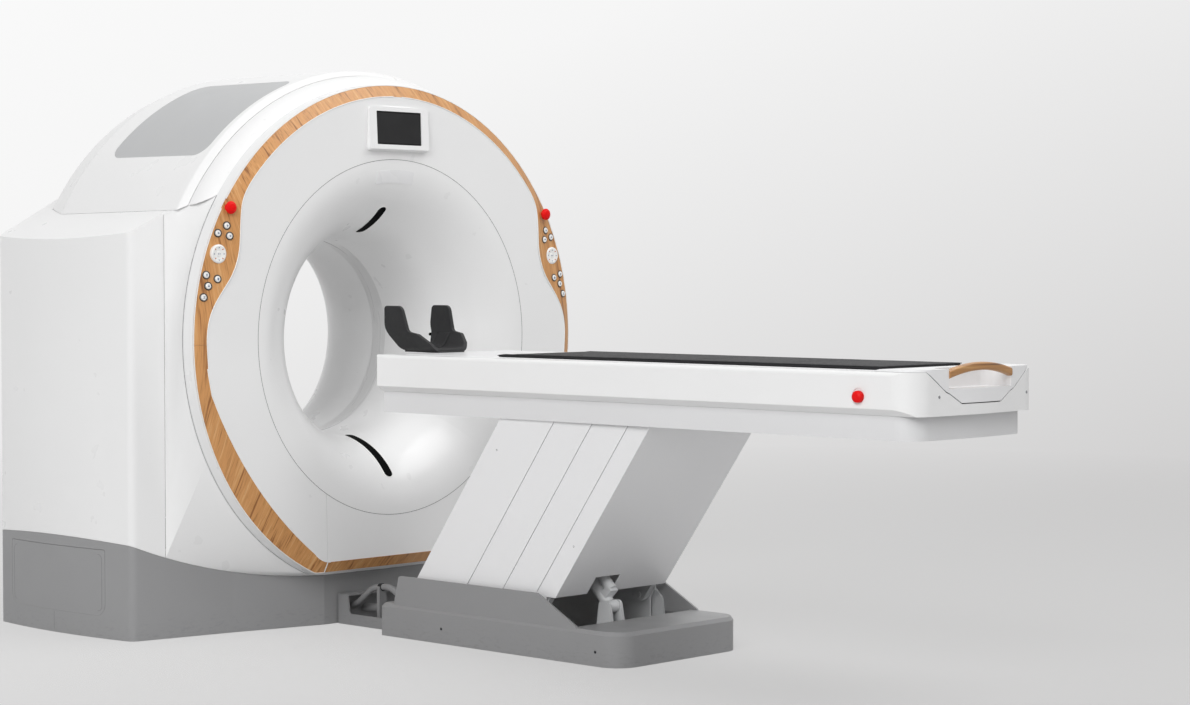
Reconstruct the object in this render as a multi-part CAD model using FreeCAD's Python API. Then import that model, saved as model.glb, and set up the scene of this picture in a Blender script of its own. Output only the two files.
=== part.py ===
"""A body scanner: an upright housing with a wide bore, and a lifting table whose top slides into it.

All sizes are in millimetres. X points right, Y runs back into the housing and Z points up. The origin
is on the floor under the bore axis, in the plane where the front funnel meets the front cover.
"""

import FreeCAD
import Part
import math
import os

from FreeCAD import Vector

# Housing
BORE_Z = 990.0
BORE_R = 350.0
DISC_R = 877.0
DISC_BOTTOM = 192.0
DISC_FILLET = 60.0
TRIM_R = 837.0
TRIM_BOTTOM = 228.0
FACE_Y = -7.0
FACE_EDGE_Y = 13.0
TRIM_THICK = 11.0
COVER_END_Y = 63.0
FUNNEL_R = 619.0
FUNNEL_DEPTH = 330.0
REAR_FUNNEL_Y = 640.0
REAR_FUNNEL_R = 560.0
REAR_DISH_Y = 930.0
RECESS_R = 640.0
BOSS_R = 790.0
BOSS_X = 899.4
SHELL = 6.0
SKIN = 5.0
GAP = 0.3
WINDOW_Y0 = 450.0
WINDOW_Y1 = 520.0
HOOD_R = 941.0
HOOD_END_Y = 800.0
REAR_Y = 976.0
SEAM_X = 846.0
SEAM_Y = 210.0
CORNER_X = 966.0
CORNER_Y = 233.0
SIDE_APEX_X = 1026.0
ROOF_Z = 1345.0
ROOF_X = 973.0
ROOF_SLOPE = 0.54
FOOT_FLAT_X = 250.0
FOOT_FLAT_Z = 172.0
FOOT_ARC_R = 1850.0
CENTRE_PANEL_X = 325.0
BULGE = ((140.0, 837.0), (143.0, 835.5), (146.0, 828.0), (149.0, 810.0), (153.0, 783.0), (156.5, 765.0),
         (160.0, 759.0), (163.5, 765.0), (167.0, 784.0), (171.0, 811.0), (174.0, 827.0), (177.0, 835.0),
         (180.0, 837.0), (186.0, 837.0))

# Controls on the trim: x and z on the left side
KEY_R = 10.0
KEY_SPOTS = ((-746.0, 1371.0), (-779.0, 1346.0), (-737.0, 1337.0), (-828.0, 1209.0),
             (-788.0, 1196.0), (-823.0, 1173.0), (-841.0, 1136.0))
DIAL_R = 31.0
DIAL_SPOT = (-780.0, 1278.0)
ESTOP_R = 21.0
ESTOP_SPOT = (-737.0, 1430.0)

# Display
SCREEN_X = 104.0
BEZEL_X = 138.0
BEZEL_Z0 = 1637.0
BEZEL_Z1 = 1797.0

# Scanning parts inside the housing
PLANE_Y = 485.0
DRUM_Y0 = 540.0
DRUM_Y1 = 575.0
DRUM_R = 780.0
HUB_R = 520.0
RACE_SPLIT_R = 559.5
RACE_OUT_R = 600.0
RACE_Y0 = 590.0
RACE_Y1 = 640.0
BELT_R = 740.0
BELT_Y0 = 580.0
BELT_Y1 = 610.0
MOTOR_X = -760.0
MOTOR_Z = 330.0
PULLEY_R = 50.0
FOCUS_R = 610.0
TANK_R = 95.0
DETECTOR_R = 1030.0

# Table
TOP_HALF = 308.0
TOP_Z = 943.0
TOP_LOW_Z = 838.0
TRAY_TOP_Z = 819.0
TRAY_HALF = 277.0
TRAY_LOW_Z = 750.0
HEAD_Y = -237.0
FOOT_Y = -2444.0
FOOT_CROWN = 21.0
NOTCH = ((250.0, 943.0), (165.0, 884.0), (150.0, 879.0), (95.0, 850.0))
CRADLE_HALF = 215.0
CRADLE_LOW_Z = 888.0
CRADLE_FOOT_Y = -2288.0
PAD_HALF = 200.0
PAD_Z = 960.0
PAD_HEAD_Y = -705.0
PAD_FOOT_Y = -2250.0
BLOCK_Y = -2290.0
TABLE_STOP_Y = -2257.0
TABLE_STOP_Z = 872.0
TABLE_STOP_R = 17.0

# Lift: four links of one length that stay parallel
PIVOT_Z = 150.0
LINK_LENGTH = 800.0
LINK_TILT = 35.8
ARM_Y = -430.0
PLATE_A_Y = -676.0
PLATE_B_Y = -831.0
REAR_Y_PIVOT = -940.0
SEAMS = (-395.0, -635.0, -797.0, -946.0, -1035.0)
SEAM_REF_Z = 205.0
PLATE_TOP_Z = 762.0
PLATE_LOW_Z = 165.0
WALL_LOW_Z = 191.0
PLATE = 2.5
PLATE_STEP = 3.0
PLATE_X = 268.5
PIN_R = 8.0
ARM_X0 = 228.0
ARM_X1 = 250.0
ACT_X = -30.0
ACT_Y = -1050.0
ACT_Z = 145.0
LUG_Y = -858.0
LUG_Z = 332.4
TUBE_R = 21.0
FORK_HALF = 22.0

# Base
BASE_HALF = 296.0
BASE_HEAD_Y = -242.0
BASE_FOOT_Y = -1333.0
BASE_Z = 110.0
CHEEK_X = 290.0
CHEEK_Z = 205.0


def rounded_wire(corners, place):
    """Closed wire through corners (u, v) or (u, v, radius), set in space by place(u, v)."""
    count = len(corners)
    stations = []
    for i, corner in enumerate(corners):
        u, v = corner[0], corner[1]
        radius = corner[2] if len(corner) > 2 else 0.0
        if radius <= 0.0:
            stations.append(((u, v), None, (u, v)))
            continue
        before = corners[i - 1]
        after = corners[(i + 1) % count]
        back = math.hypot(before[0] - u, before[1] - v)
        ahead = math.hypot(after[0] - u, after[1] - v)
        ax, ay = (before[0] - u) / back, (before[1] - v) / back
        bx, by = (after[0] - u) / ahead, (after[1] - v) / ahead
        half = math.acos(max(-1.0, min(1.0, ax * bx + ay * by))) / 2.0
        reach = radius / math.tan(half)
        mx, my = ax + bx, ay + by
        size = math.hypot(mx, my)
        out = radius / math.sin(half) - radius
        stations.append(((u + ax * reach, v + ay * reach),
                         (u + mx / size * out, v + my / size * out),
                         (u + bx * reach, v + by * reach)))
    edges = []
    for i, (start, middle, end) in enumerate(stations):
        if middle:
            edges.append(Part.Arc(place(*start), place(*middle), place(*end)).toShape())
        following = stations[(i + 1) % count][0]
        if math.hypot(end[0] - following[0], end[1] - following[1]) > 1e-6:
            edges.append(Part.makeLine(place(*end), place(*following)))
    return Part.Wire(edges)


def prism_x(corners, x0, x1):
    """Solid from a Y-Z outline between two X planes."""
    wire = rounded_wire(corners, lambda u, v: Vector(x0, u, v))
    return Part.Face(wire).extrude(Vector(x1 - x0, 0, 0))


def prism_y(corners, y0, y1):
    """Solid from an X-Z outline between two Y planes."""
    wire = rounded_wire(corners, lambda u, v: Vector(u, y0, v))
    return Part.Face(wire).extrude(Vector(0, y1 - y0, 0))


def prism_z(corners, z0, z1):
    """Solid from an X-Y outline between two Z planes."""
    wire = rounded_wire(corners, lambda u, v: Vector(u, v, z0))
    return Part.Face(wire).extrude(Vector(0, 0, z1 - z0))


def box(x0, x1, y0, y1, z0, z1):
    """Plain block between two corners."""
    return Part.makeBox(x1 - x0, y1 - y0, z1 - z0, Vector(x0, y0, z0))


def rod_x(radius, x0, x1, y, z):
    """Cylinder along X."""
    return Part.makeCylinder(radius, abs(x1 - x0), Vector(min(x0, x1), y, z), Vector(1, 0, 0))


def rod_y(radius, y0, y1, x=0.0, z=BORE_Z):
    """Cylinder along Y, on the bore axis unless told otherwise."""
    return Part.makeCylinder(radius, y1 - y0, Vector(x, y0, z), Vector(0, 1, 0))


def sweep_ring(corners, start=0.0, end=360.0):
    """Turn a (radius, y) outline about the bore axis between two angles, counted up from +X."""
    turn = math.radians(start)

    def place(r, y):
        return Vector(r * math.cos(turn), y, BORE_Z + r * math.sin(turn))

    face = Part.Face(rounded_wire(corners, place))
    return face.revolve(Vector(0, 0, BORE_Z), Vector(0, -1, 0), end - start)


def turned_y(corners, x, z):
    """Turn a (radius, y) outline about a line along Y through (x, z)."""
    face = Part.Face(rounded_wire(corners, lambda r, y: Vector(x + r, y, z)))
    return face.revolve(Vector(x, 0, z), Vector(0, 1, 0), 360.0)


def mirrored(shape):
    """The same shape on the other side of the middle plane."""
    return shape.mirror(Vector(0, 0, 0), Vector(1, 0, 0))


def main_solids(shape, least):
    """The solids of a shape that are larger than least, in cubic millimetres."""
    return [solid for solid in shape.Solids if solid.Volume > least]


def both(shape):
    """A shape and its mirror image as one group."""
    return group([shape, mirrored(shape)])


def group(shapes):
    """Several solids kept apart in one node."""
    solids = []
    for shape in shapes:
        solids.extend(shape.Solids)
    return Part.makeCompound(solids)


def whole(half):
    """Close an outline given for x < 0, from its first to its last point, with its mirror image."""
    return list(half) + [(-c[0],) + tuple(c[1:]) for c in reversed(half)]


def polar(radius, degrees, y):
    """Point at an angle round the bore axis."""
    turn = math.radians(degrees)
    return Vector(radius * math.cos(turn), y, BORE_Z + radius * math.sin(turn))


def arc(a, b, c):
    """Edge of a circle through three points."""
    return Part.Arc(a, b, c).toShape()


# Housing

def flip(points):
    """Mirror points across the middle plane."""
    return [Vector(-p.x, p.y, p.z) for p in points]


def corner_points(radius, bottom, fillet, y):
    """Where the round outline passes into its flat bottom on the left."""
    centre_z = bottom + fillet
    drop = centre_z - BORE_Z
    centre_x = -math.sqrt((radius - fillet) ** 2 - drop ** 2)
    angle = math.atan2(drop, centre_x)
    start = Vector(radius * math.cos(angle), y, BORE_Z + radius * math.sin(angle))
    bend = (angle - math.pi / 2.0) / 2.0
    middle = Vector(centre_x + fillet * math.cos(bend), y, centre_z + fillet * math.sin(bend))
    return start, middle, Vector(centre_x, y, bottom)


def disc_edges(radius, bottom, y, fillet=DISC_FILLET):
    """Ten edges of a circle with a flat bottom."""
    start, middle, end = corner_points(radius, bottom, fillet, y)
    corner = math.degrees(math.atan2(start.z - BORE_Z, start.x)) % 360.0
    left = [[polar(radius, a, y) for a in (140.0, 166.0, 192.0)],
            [polar(radius, a, y) for a in (192.0, (192.0 + corner) / 2.0, corner)],
            [start, middle, end]]
    edges = [arc(polar(radius, 40.0, y), polar(radius, 90.0, y), polar(radius, 140.0, y))]
    edges += [arc(*points) for points in left]
    edges.append(Part.makeLine(end, Vector(-end.x, y, bottom)))
    edges += [arc(*reversed(flip(points))) for points in reversed(left)]
    return edges


def spline(points, first, last):
    """Smooth edge through points with given end directions."""
    curve = Part.BSplineCurve()
    curve.interpolate(Points=points, InitialTangent=first, FinalTangent=last)
    return curve.toShape()


def trim_edges(y, shrink=0.0):
    """Ten edges of the inner trim outline, which bulges inwards around the controls."""
    scale = 1.0 - shrink / TRIM_R

    def spot(x, z):
        return Vector(x * scale, y, BORE_Z + z * scale)

    bulge = [polar(r * scale, a, y) for a, r in BULGE] + [polar(TRIM_R * scale, 192.0, y)]
    way_in = Vector(-math.sin(math.radians(140.0)), 0, math.cos(math.radians(140.0)))
    way_out = Vector(-math.sin(math.radians(192.0)), 0, math.cos(math.radians(192.0)))
    low = [bulge[-1], spot(-668.0, -436.0), spot(-382.0, -728.0)]
    bottom = TRIM_BOTTOM - BORE_Z
    corner = [low[-1], spot(-352.0, -752.0), spot(-314.0, bottom)]
    edges = [arc(polar(TRIM_R * scale, 40.0, y), polar(TRIM_R * scale, 90.0, y), bulge[0])]
    bend = spline(bulge, way_in, way_out)
    edges += [bend, arc(*low), arc(*corner)]
    edges.append(Part.makeLine(corner[-1], flip(corner)[-1]))
    edges += [arc(*reversed(flip(corner))), arc(*reversed(flip(low))), mirrored(bend)]
    return edges


def slab(edges, depth):
    """Solid from an outline pushed back along Y."""
    return Part.Face(Part.Wire(edges)).extrude(Vector(0, depth, 0))


def front_bulk():
    """Solid between the trim's inner outline at the face and the disc outline at its edge."""
    inner = Part.Wire(trim_edges(FACE_Y))
    outer = Part.Wire(disc_edges(DISC_R, DISC_BOTTOM, FACE_EDGE_Y))
    return Part.makeLoft([inner, outer], True, True)


def shifted(shape, dy):
    """A copy moved along Y."""
    copy = shape.copy()
    copy.translate(Vector(0, dy, 0))
    return copy


def surface_y(bulk, x, z):
    """Depth of the sloping trim surface at one spot."""
    line = Part.makeLine(Vector(x, -60, z), Vector(x, 60, z))
    return line.common(bulk).BoundBox.YMin


def control_spots(bulk):
    """Radius, x, surface y and z of every control on the left side."""
    spots = [(KEY_R, x, z) for x, z in KEY_SPOTS]
    spots.append((DIAL_R,) + DIAL_SPOT)
    spots.append((ESTOP_R - 9.0,) + ESTOP_SPOT)
    return [(r, x, surface_y(bulk, x, z), z) for r, x, z in spots]


def wood_trim(bulk, spots):
    """Wooden ring round the front, with holes for the controls, in four lengths."""
    ring = bulk.cut(slab(trim_edges(FACE_Y - 1.0), 40.0)).cut(shifted(bulk, TRIM_THICK))
    edge = slab(disc_edges(DISC_R, DISC_BOTTOM, FACE_EDGE_Y), 3.0)
    edge = edge.cut(slab(disc_edges(DISC_R - 9.0, DISC_BOTTOM + 9.0, FACE_EDGE_Y - 1.0), 6.0))
    ring = ring.fuse(edge)
    holes = []
    for r, x, y, z in spots:
        hole = rod_y(r + GAP, y - 30.0, y + 40.0, x, z)
        holes += [hole, mirrored(hole)]
    joints = [box(-900.0, 900.0, -20.0, 40.0, BORE_Z - 9.3, BORE_Z - 8.7)]
    for x in (-CENTRE_PANEL_X, CENTRE_PANEL_X):
        joints.append(box(x - 0.3, x + 0.3, -20.0, 40.0, 150.0, 300.0))
    ring = ring.cut(group(holes + joints))
    return group(main_solids(ring, 50000.0))


def front_cover(bulk, spots):
    """Round front cover with a separate panel under the bore."""
    cover = shifted(bulk, TRIM_THICK + GAP)
    cover = cover.fuse(slab(trim_edges(FACE_Y, GAP), 12.0))
    edge_y = FACE_EDGE_Y + 3.0 + GAP
    cover = cover.fuse(slab(disc_edges(DISC_R + 2.0, DISC_BOTTOM - 2.0, edge_y), COVER_END_Y - edge_y))
    hollow = slab(disc_edges(DISC_R - 4.0, DISC_BOTTOM + 4.0, 30.0), 40.0)
    deep = slab(trim_edges(FACE_Y + 8.0, 12.0), 40.0)
    cover = cover.cut(hollow).cut(deep)
    wedge = sweep_ring([(600.0, FACE_Y - 1.0), (838.0, FACE_Y - 1.0), (838.0, FACE_Y), (600.0, 0.61)])
    cover = cover.cut(wedge)
    cover = cover.cut(rod_y(FUNNEL_R + 1.0, -20.0, 80.0))
    for r, x, y, z in spots:
        pocket = rod_y(r + 2.0, y, 80.0, x, z)
        cover = cover.cut(group([pocket, mirrored(pocket)]))
    for x in (-CENTRE_PANEL_X, CENTRE_PANEL_X):
        cover = cover.cut(box(x - 0.6, x + 0.6, -20.0, 80.0, 100.0, BORE_Z - 400.0))
    return group(main_solids(cover, 50000.0))


def foot_z(x):
    """Height of the line between the white covers and the plinth."""
    run = abs(x) - FOOT_FLAT_X
    if run <= 0.0:
        return FOOT_FLAT_Z
    return FOOT_FLAT_Z + FOOT_ARC_R - math.sqrt(FOOT_ARC_R ** 2 - run ** 2)


def front_line(x):
    """Depth of the housing's lower front at one x."""
    stops = ((0.0, 75.0), (263.0, 85.0), (601.0, 165.0), (SEAM_X, SEAM_Y))
    for (x0, y0), (x1, y1) in zip(stops, stops[1:]):
        if abs(x) <= x1:
            return y0 + (y1 - y0) * (abs(x) - x0) / (x1 - x0)
    return SEAM_Y


def roof_z(x):
    """Height of the sloping cabinet roof at one x."""
    return ROOF_Z + ROOF_SLOPE * (ROOF_X - abs(x))


def above_foot(drop, low, high, y0, y1):
    """Space over the plinth line between two heights, lowered by drop, right across the housing."""
    wide = 1100.0

    def spot(x):
        return Vector(x, y0, foot_z(x) - drop)

    mid = (wide + FOOT_FLAT_X) / 2.0
    edges = [Part.makeLine(Vector(-wide, y0, high), Vector(wide, y0, high)),
             Part.makeLine(Vector(wide, y0, high), spot(wide)),
             arc(spot(wide), spot(mid), spot(FOOT_FLAT_X)),
             Part.makeLine(spot(FOOT_FLAT_X), spot(-FOOT_FLAT_X)),
             arc(spot(-FOOT_FLAT_X), spot(-mid), spot(-wide)),
             Part.makeLine(spot(-wide), Vector(-wide, y0, high))]
    return Part.Face(Part.Wire(edges)).extrude(Vector(0, y1 - y0, 0))


def below_roof(rise, y0=-60.0, y1=1100.0):
    """Space under both sloping roofs, raised by rise, down to below the floor."""
    half = [(-1200.0, -50.0), (-1200.0, roof_z(1200.0) + rise), (-560.0, roof_z(560.0) + rise),
            (-560.0, -50.0)]
    left = prism_y(half, y0, y1)
    return left.fuse(mirrored(left)).fuse(box(-561.0, 561.0, y0, y1, -50.0, 1400.0))


def wing(side_gap):
    """Lower front surface between the round cover and the two vertical seams, in one piece."""
    y = COVER_END_Y + 3.0
    radius = DISC_R + 5.0
    low = DISC_BOTTOM - 5.0
    seam = -SEAM_X + side_gap
    start, middle, end = corner_points(radius, low, DISC_FILLET, y)
    corner = math.degrees(math.atan2(start.z - BORE_Z, start.x)) % 360.0

    def foot(x):
        return Vector(x, front_line(x), foot_z(x))

    top_angle = 146.5
    roof_at_seam = Vector(seam, SEAM_Y, roof_z(seam))
    upper = (Part.makeLine(roof_at_seam, foot(seam)),
             arc(polar(radius, top_angle, y), polar(radius, 177.0, y), polar(radius, 207.0, y)))
    side = (arc(foot(seam), foot(-723.0), foot(-601.0)),
            arc(polar(radius, 207.0, y), polar(radius, (207.0 + corner) / 2.0, y), start))
    bend = (arc(foot(-601.0), foot(-476.0), foot(-350.0)), arc(start, middle, end))
    flat = (Part.makeLine(foot(-350.0), foot(-263.0)), Part.makeLine(end, Vector(-263.0, y, low)))
    middle_strip = (Part.makeLine(foot(-263.0), foot(0.0)),
                    Part.makeLine(Vector(-263.0, y, low), Vector(0.0, y, low)))
    thick = Vector(5.0, 6.0, 0.0)
    pieces = []
    for outer, inner in (upper, side, bend, flat):
        pieces.append(Part.makeRuledSurface(outer, inner).extrude(thick))
    pieces.append(Part.makeRuledSurface(*middle_strip).extrude(Vector(0.0, 6.0, 0.0)))
    body = pieces[0]
    for piece in pieces[1:]:
        body = body.fuse(piece)
    return body.fuse(mirrored(body))


def plan_corners(inset=0.0):
    """Left side of the cabinet seen from above, from its front edge round to the back."""
    return [(-700.0, 12.0 + inset), (-SEAM_X, SEAM_Y + inset), (-CORNER_X + inset, CORNER_Y + inset, 30.0),
            (-SIDE_APEX_X + inset, 612.0, 2250.0), (-REAR_Y + inset, REAR_Y - inset, 20.0 - inset),
            (-700.0, REAR_Y - inset)]


def hood_envelope(grow):
    """Everything inside the hood and the rear dish."""
    return sweep_ring([(0.0, -60.0), (800.0, -60.0), (883.0, 60.0), (916.0 + grow, 139.0),
                       (935.0 + grow, 165.0), (HOOD_R + grow, HOOD_END_Y), (918.0 + grow, 905.0),
                       (893.0, REAR_DISH_Y + grow), (0.0, REAR_DISH_Y + grow)])


def side_cover():
    """Left cabinet side with its sloping roof."""
    outer = prism_z(plan_corners(), 150.0, 1700.0)
    outer = outer.common(above_foot(0.0, 0.0, 2000.0, -50.0, 1000.0)).common(below_roof(0.0))
    inner = prism_z(plan_corners(SHELL), 100.0, 1700.0).common(below_roof(-SHELL * 1.14))
    cover = outer.cut(inner)
    trim = prism_y([(-SEAM_X, 0.0), (-SEAM_X, roof_z(SEAM_X) - 7.0), (-600.0, roof_z(600.0) - 7.0),
                    (-600.0, 0.0)], -60.0, 1000.0)
    cover = cover.cut(trim).cut(hood_envelope(GAP).cut(below_roof(-12.0)))
    cover = cover.cut(box(-900.0, -600.0, REAR_DISH_Y - GAP, 1000.0, 0.0, 2000.0))
    return max(cover.Solids, key=lambda s: s.Volume)


def side_covers():
    """Both cabinet sides and the front wings."""
    wings = wing(1.2).common(below_roof(0.0))
    side = side_cover()
    return group([side, mirrored(side), wings])


def hood():
    """Curved top: a narrow rim behind the front disc and the wide hood after it."""
    rim = Part.Wire([
        arc(polar(881.0, 0.0, 64.5), polar(905.0, 0.0, 93.0), polar(916.0, 0.0, 139.0)),
        Part.makeLine(polar(916.0, 0.0, 139.0), polar(910.0, 0.0, 139.0)),
        arc(polar(910.0, 0.0, 139.0), polar(899.0, 0.0, 96.0), polar(877.0, 0.0, 70.0)),
        Part.makeLine(polar(877.0, 0.0, 70.0), polar(881.0, 0.0, 64.5))])
    rim_ring = Part.Face(rim).revolve(Vector(0, 0, BORE_Z), Vector(0, -1, 0), 360.0)
    hood_ring = sweep_ring([(917.0, 139.8), (935.0, 165.0, 12.0), (HOOD_R, HOOD_END_Y),
                            (HOOD_R - SHELL, HOOD_END_Y), (929.0, 168.0, 12.0), (911.0, 143.0)])
    ground = below_roof(GAP)
    pocket = window_block(0.5).common(window_layer(-3.6, 2.0))
    hood_ring = hood_ring.cut(ground).cut(group([pocket, mirrored(pocket)]))
    return group([rim_ring.cut(ground), hood_ring])


def window_layer(inside, outside):
    """Thin layer following the hood, measured from its surface."""
    return sweep_ring([(935.0 + inside, 165.0), (HOOD_R + inside, HOOD_END_Y),
                       (HOOD_R + outside, HOOD_END_Y), (935.0 + outside, 165.0)])


def window_block(grow):
    """Rounded block standing out through the hood at the left roof window."""
    middle = 123.5
    half = 938.0 * math.sin(math.radians(15.0)) + grow
    corners = [(-half, 188.0 - grow, 55.0), (half, 188.0 - grow, 55.0), (half, 704.0 + grow, 55.0),
               (-half, 704.0 + grow, 55.0)]
    block = prism_z(corners, 850.0, 1000.0)
    block.rotate(Vector(0, 0, 0), Vector(0, 1, 0), -(middle - 90.0))
    block.translate(Vector(0, 0, BORE_Z))
    return block


def roof_windows():
    """Grey inlays in the hood on both sides."""
    pane = window_block(0.0).common(window_layer(-3.2, -0.4))
    return both(pane)


def rear_body(inset):
    """Bulk of the rear cover: a dish behind the hood and a square boss down to the plinth."""
    start = HOOD_END_Y + 0.8
    dish = sweep_ring([(0.0, start), (HOOD_R - inset, start), (918.0 - inset, 905.0, 40.0),
                       (893.0 - inset, REAR_DISH_Y - inset), (0.0, REAR_DISH_Y - inset)])
    dish = dish.cut(below_roof(GAP + inset))
    edge = BOSS_X - inset
    half = [(-504.0, roof_z(504.0) - inset), (-edge, roof_z(BOSS_X) - inset), (-edge, 100.0)]
    boss = prism_y(whole(half), REAR_DISH_Y - 30.0, REAR_Y - inset)
    boss = boss.fuse(rod_y(BOSS_R - inset, REAR_DISH_Y - 30.0, REAR_Y - inset))
    under_roof = below_roof(GAP + inset, 800.0, REAR_DISH_Y)
    boss = boss.cut(under_roof.cut(rod_y(RECESS_R + SHELL, 700.0, 1000.0)))
    boss = boss.common(above_foot(-inset, 0.0, 2000.0, 800.0, 1000.0))
    return dish, boss


def rear_cover():
    """White rear cover with a round recess about the bore."""
    dish, boss = rear_body(0.0)
    dish_in, boss_in = rear_body(SHELL)
    cover = dish.fuse(boss)
    recess = rod_y(RECESS_R, REAR_DISH_Y, REAR_Y + 20.0)
    keep = rod_y(RECESS_R + SHELL, REAR_DISH_Y - SHELL, REAR_Y + 20.0)
    cover = cover.cut(recess)
    core = boss_in.cut(keep).fuse(dish_in)
    core = core.fuse(rod_y(RECESS_R + 60.0, 700.0, REAR_DISH_Y - SHELL))
    cover = cover.cut(core).cut(rod_y(REAR_FUNNEL_R + GAP, 700.0, REAR_Y + 20.0))
    return group([cover])


def plinth():
    """Grey foot of the housing with a hatch on each side."""
    half = [(0.0, 75.0), (-263.0, 85.0), (-601.0, 165.0), (-SEAM_X, SEAM_Y), (-CORNER_X, CORNER_Y, 30.0),
            (-SIDE_APEX_X, 612.0, 2250.0), (-REAR_Y, REAR_Y, 20.0), (0.0, REAR_Y)]
    inner = [(0.0, 83.0), (-261.0, 93.0), (-599.0, 173.0), (-844.0, 218.0), (-958.5, 240.0, 22.0),
             (-SIDE_APEX_X + 8.0, 612.0, 2250.0), (-968.0, 968.0, 12.0), (0.0, 968.0)]
    wall = prism_z(whole(half)[:-1], 0.0, 360.0).cut(prism_z(whole(inner)[:-1], -1.0, 361.0))
    wall = wall.cut(above_foot(0.8, 0.0, 600.0, -10.0, 1010.0))
    hatch_corners = [(357.0, 75.0, 40.0), (890.0, 75.0, 40.0), (890.0, 295.0, 8.0), (357.0, 295.0, 8.0)]
    gap = 1.2
    frame_corners = [(357.0 - gap, 75.0 - GAP, 41.0), (890.0 + gap, 75.0 - GAP, 41.0),
                     (890.0 + gap, 295.0 + gap, 9.0), (357.0 - gap, 295.0 + gap, 9.0)]
    hatch = prism_x(hatch_corners, -1100.0, -900.0).common(wall)
    opening = prism_x(frame_corners, -1100.0, -900.0)
    wall = wall.cut(group([opening, mirrored(opening)]))
    return group([wall, hatch, mirrored(hatch)])


def funnel_shell(mouth_r, mouth_y, throat_y, end_y, thick):
    """Shell about the bore axis that flares as a quarter ellipse and runs on as a tube."""
    way = 1.0 if throat_y > mouth_y else -1.0

    def curve(grow):
        centre = Vector(mouth_r, throat_y, BORE_Z)
        mouth = Vector(mouth_r, mouth_y + way * grow, BORE_Z)
        throat = Vector(BORE_R + grow, throat_y, BORE_Z)
        return Part.Arc(Part.Ellipse(mouth, throat, centre), 0.0, math.pi / 2.0).toShape(), mouth, throat

    inner, mouth0, throat0 = curve(0.0)
    outer, mouth1, throat1 = curve(thick)
    end0 = Vector(BORE_R, end_y, BORE_Z)
    end1 = Vector(BORE_R + thick, end_y, BORE_Z)
    wire = Part.Wire([inner, Part.makeLine(throat0, end0), Part.makeLine(end0, end1),
                      Part.makeLine(end1, throat1), outer, Part.makeLine(mouth1, mouth0)])
    shell = Part.Face(wire).revolve(Vector(0, 0, BORE_Z), Vector(0, 1, 0), 360.0)
    shell.rotate(Vector(0, 0, BORE_Z), Vector(0, 1, 0), 45.0)
    return shell


def funnel_front():
    """Front funnel running into the bore, with shallow pockets for the positioning lights."""
    funnel = funnel_shell(FUNNEL_R, 0.0, FUNNEL_DEPTH, WINDOW_Y0 - GAP, SKIN)
    layer = funnel_shell(FUNNEL_R, 0.0, FUNNEL_DEPTH, FUNNEL_DEPTH + 20.0, 3.0)
    top = prism_z([(-10.0, 70.0, 9.5), (10.0, 70.0, 9.5), (10.0, 202.0, 9.5), (-10.0, 202.0, 9.5)],
                  BORE_Z, BORE_Z + FUNNEL_R)
    low = prism_z([(-10.0, 42.0, 9.5), (10.0, 42.0, 9.5), (10.0, 265.0, 9.5), (-10.0, 265.0, 9.5)],
                  BORE_Z - FUNNEL_R, BORE_Z)
    side = prism_x([(185.0, BORE_Z - 5.0, 4.5), (225.0, BORE_Z - 5.0, 4.5), (225.0, BORE_Z + 5.0, 4.5),
                    (185.0, BORE_Z + 5.0, 4.5)], -700.0, 700.0)
    for pocket in (top, low, side):
        funnel = funnel.cut(layer.common(pocket))
    return group([funnel])


def funnel_rear():
    """Rear end of the bore flaring to the back."""
    return funnel_shell(REAR_FUNNEL_R, REAR_DISH_Y, REAR_FUNNEL_Y, WINDOW_Y1 + GAP, SKIN)


def scan_window():
    """Thin clear ring the rays pass through."""
    return sweep_ring([(BORE_R, WINDOW_Y0), (BORE_R + 4.0, WINDOW_Y0), (BORE_R + 4.0, WINDOW_Y1),
                       (BORE_R, WINDOW_Y1)])


def display_bezel():
    """Frame of the display over the bore, standing proud at its lower edge."""
    outline = [(-1.9, BEZEL_Z0), (-21.0, BEZEL_Z0 + 6.0, 3.0), (-13.5, BEZEL_Z1 - 6.0, 3.0), (-6.9, BEZEL_Z1)]
    body = prism_x(outline, -BEZEL_X, BEZEL_X)
    front = [(-BEZEL_X, BEZEL_Z0, 12.0), (BEZEL_X, BEZEL_Z0, 12.0), (BEZEL_X, BEZEL_Z1 - 9.0, 12.0),
             (0.0, BEZEL_Z1, 900.0), (-BEZEL_X, BEZEL_Z1 - 9.0, 12.0)]
    body = body.common(prism_y(front, -60.0, 20.0))
    return group([body.cut(screen_block(GAP, -60.0))])


def screen_block(grow, front_y):
    """Rounded block that carves or fills the screen opening."""
    x = SCREEN_X + grow
    low, high = BEZEL_Z0 + 23.0 - grow, BEZEL_Z1 - 22.0 + grow
    corners = [(-x, low, 3.0), (x, low, 3.0), (x, high, 3.0), (-x, high, 3.0)]
    return prism_y(corners, front_y, -9.0 + grow)


def display_screen():
    """Dark glass of the display, set a little under its frame."""
    behind = prism_x([(-9.0, BEZEL_Z0 - 37.0), (-16.8, BEZEL_Z0 - 37.0), (-11.3, BEZEL_Z1 + 3.0),
                      (-9.0, BEZEL_Z1 + 3.0)], -SCREEN_X - 16.0, SCREEN_X + 16.0)
    return screen_block(0.0, -40.0).common(behind)


def key_cap(spot):
    """Round push key seated through the trim."""
    r, x, y, z = spot
    return turned_y([(0.0, y - 5.0), (r - 1.5, y - 5.0), (r, y - 3.0), (r, y + 13.0), (5.0, y + 13.0),
                     (5.0, y + 22.0), (0.0, y + 22.0)], x, z)


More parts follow.
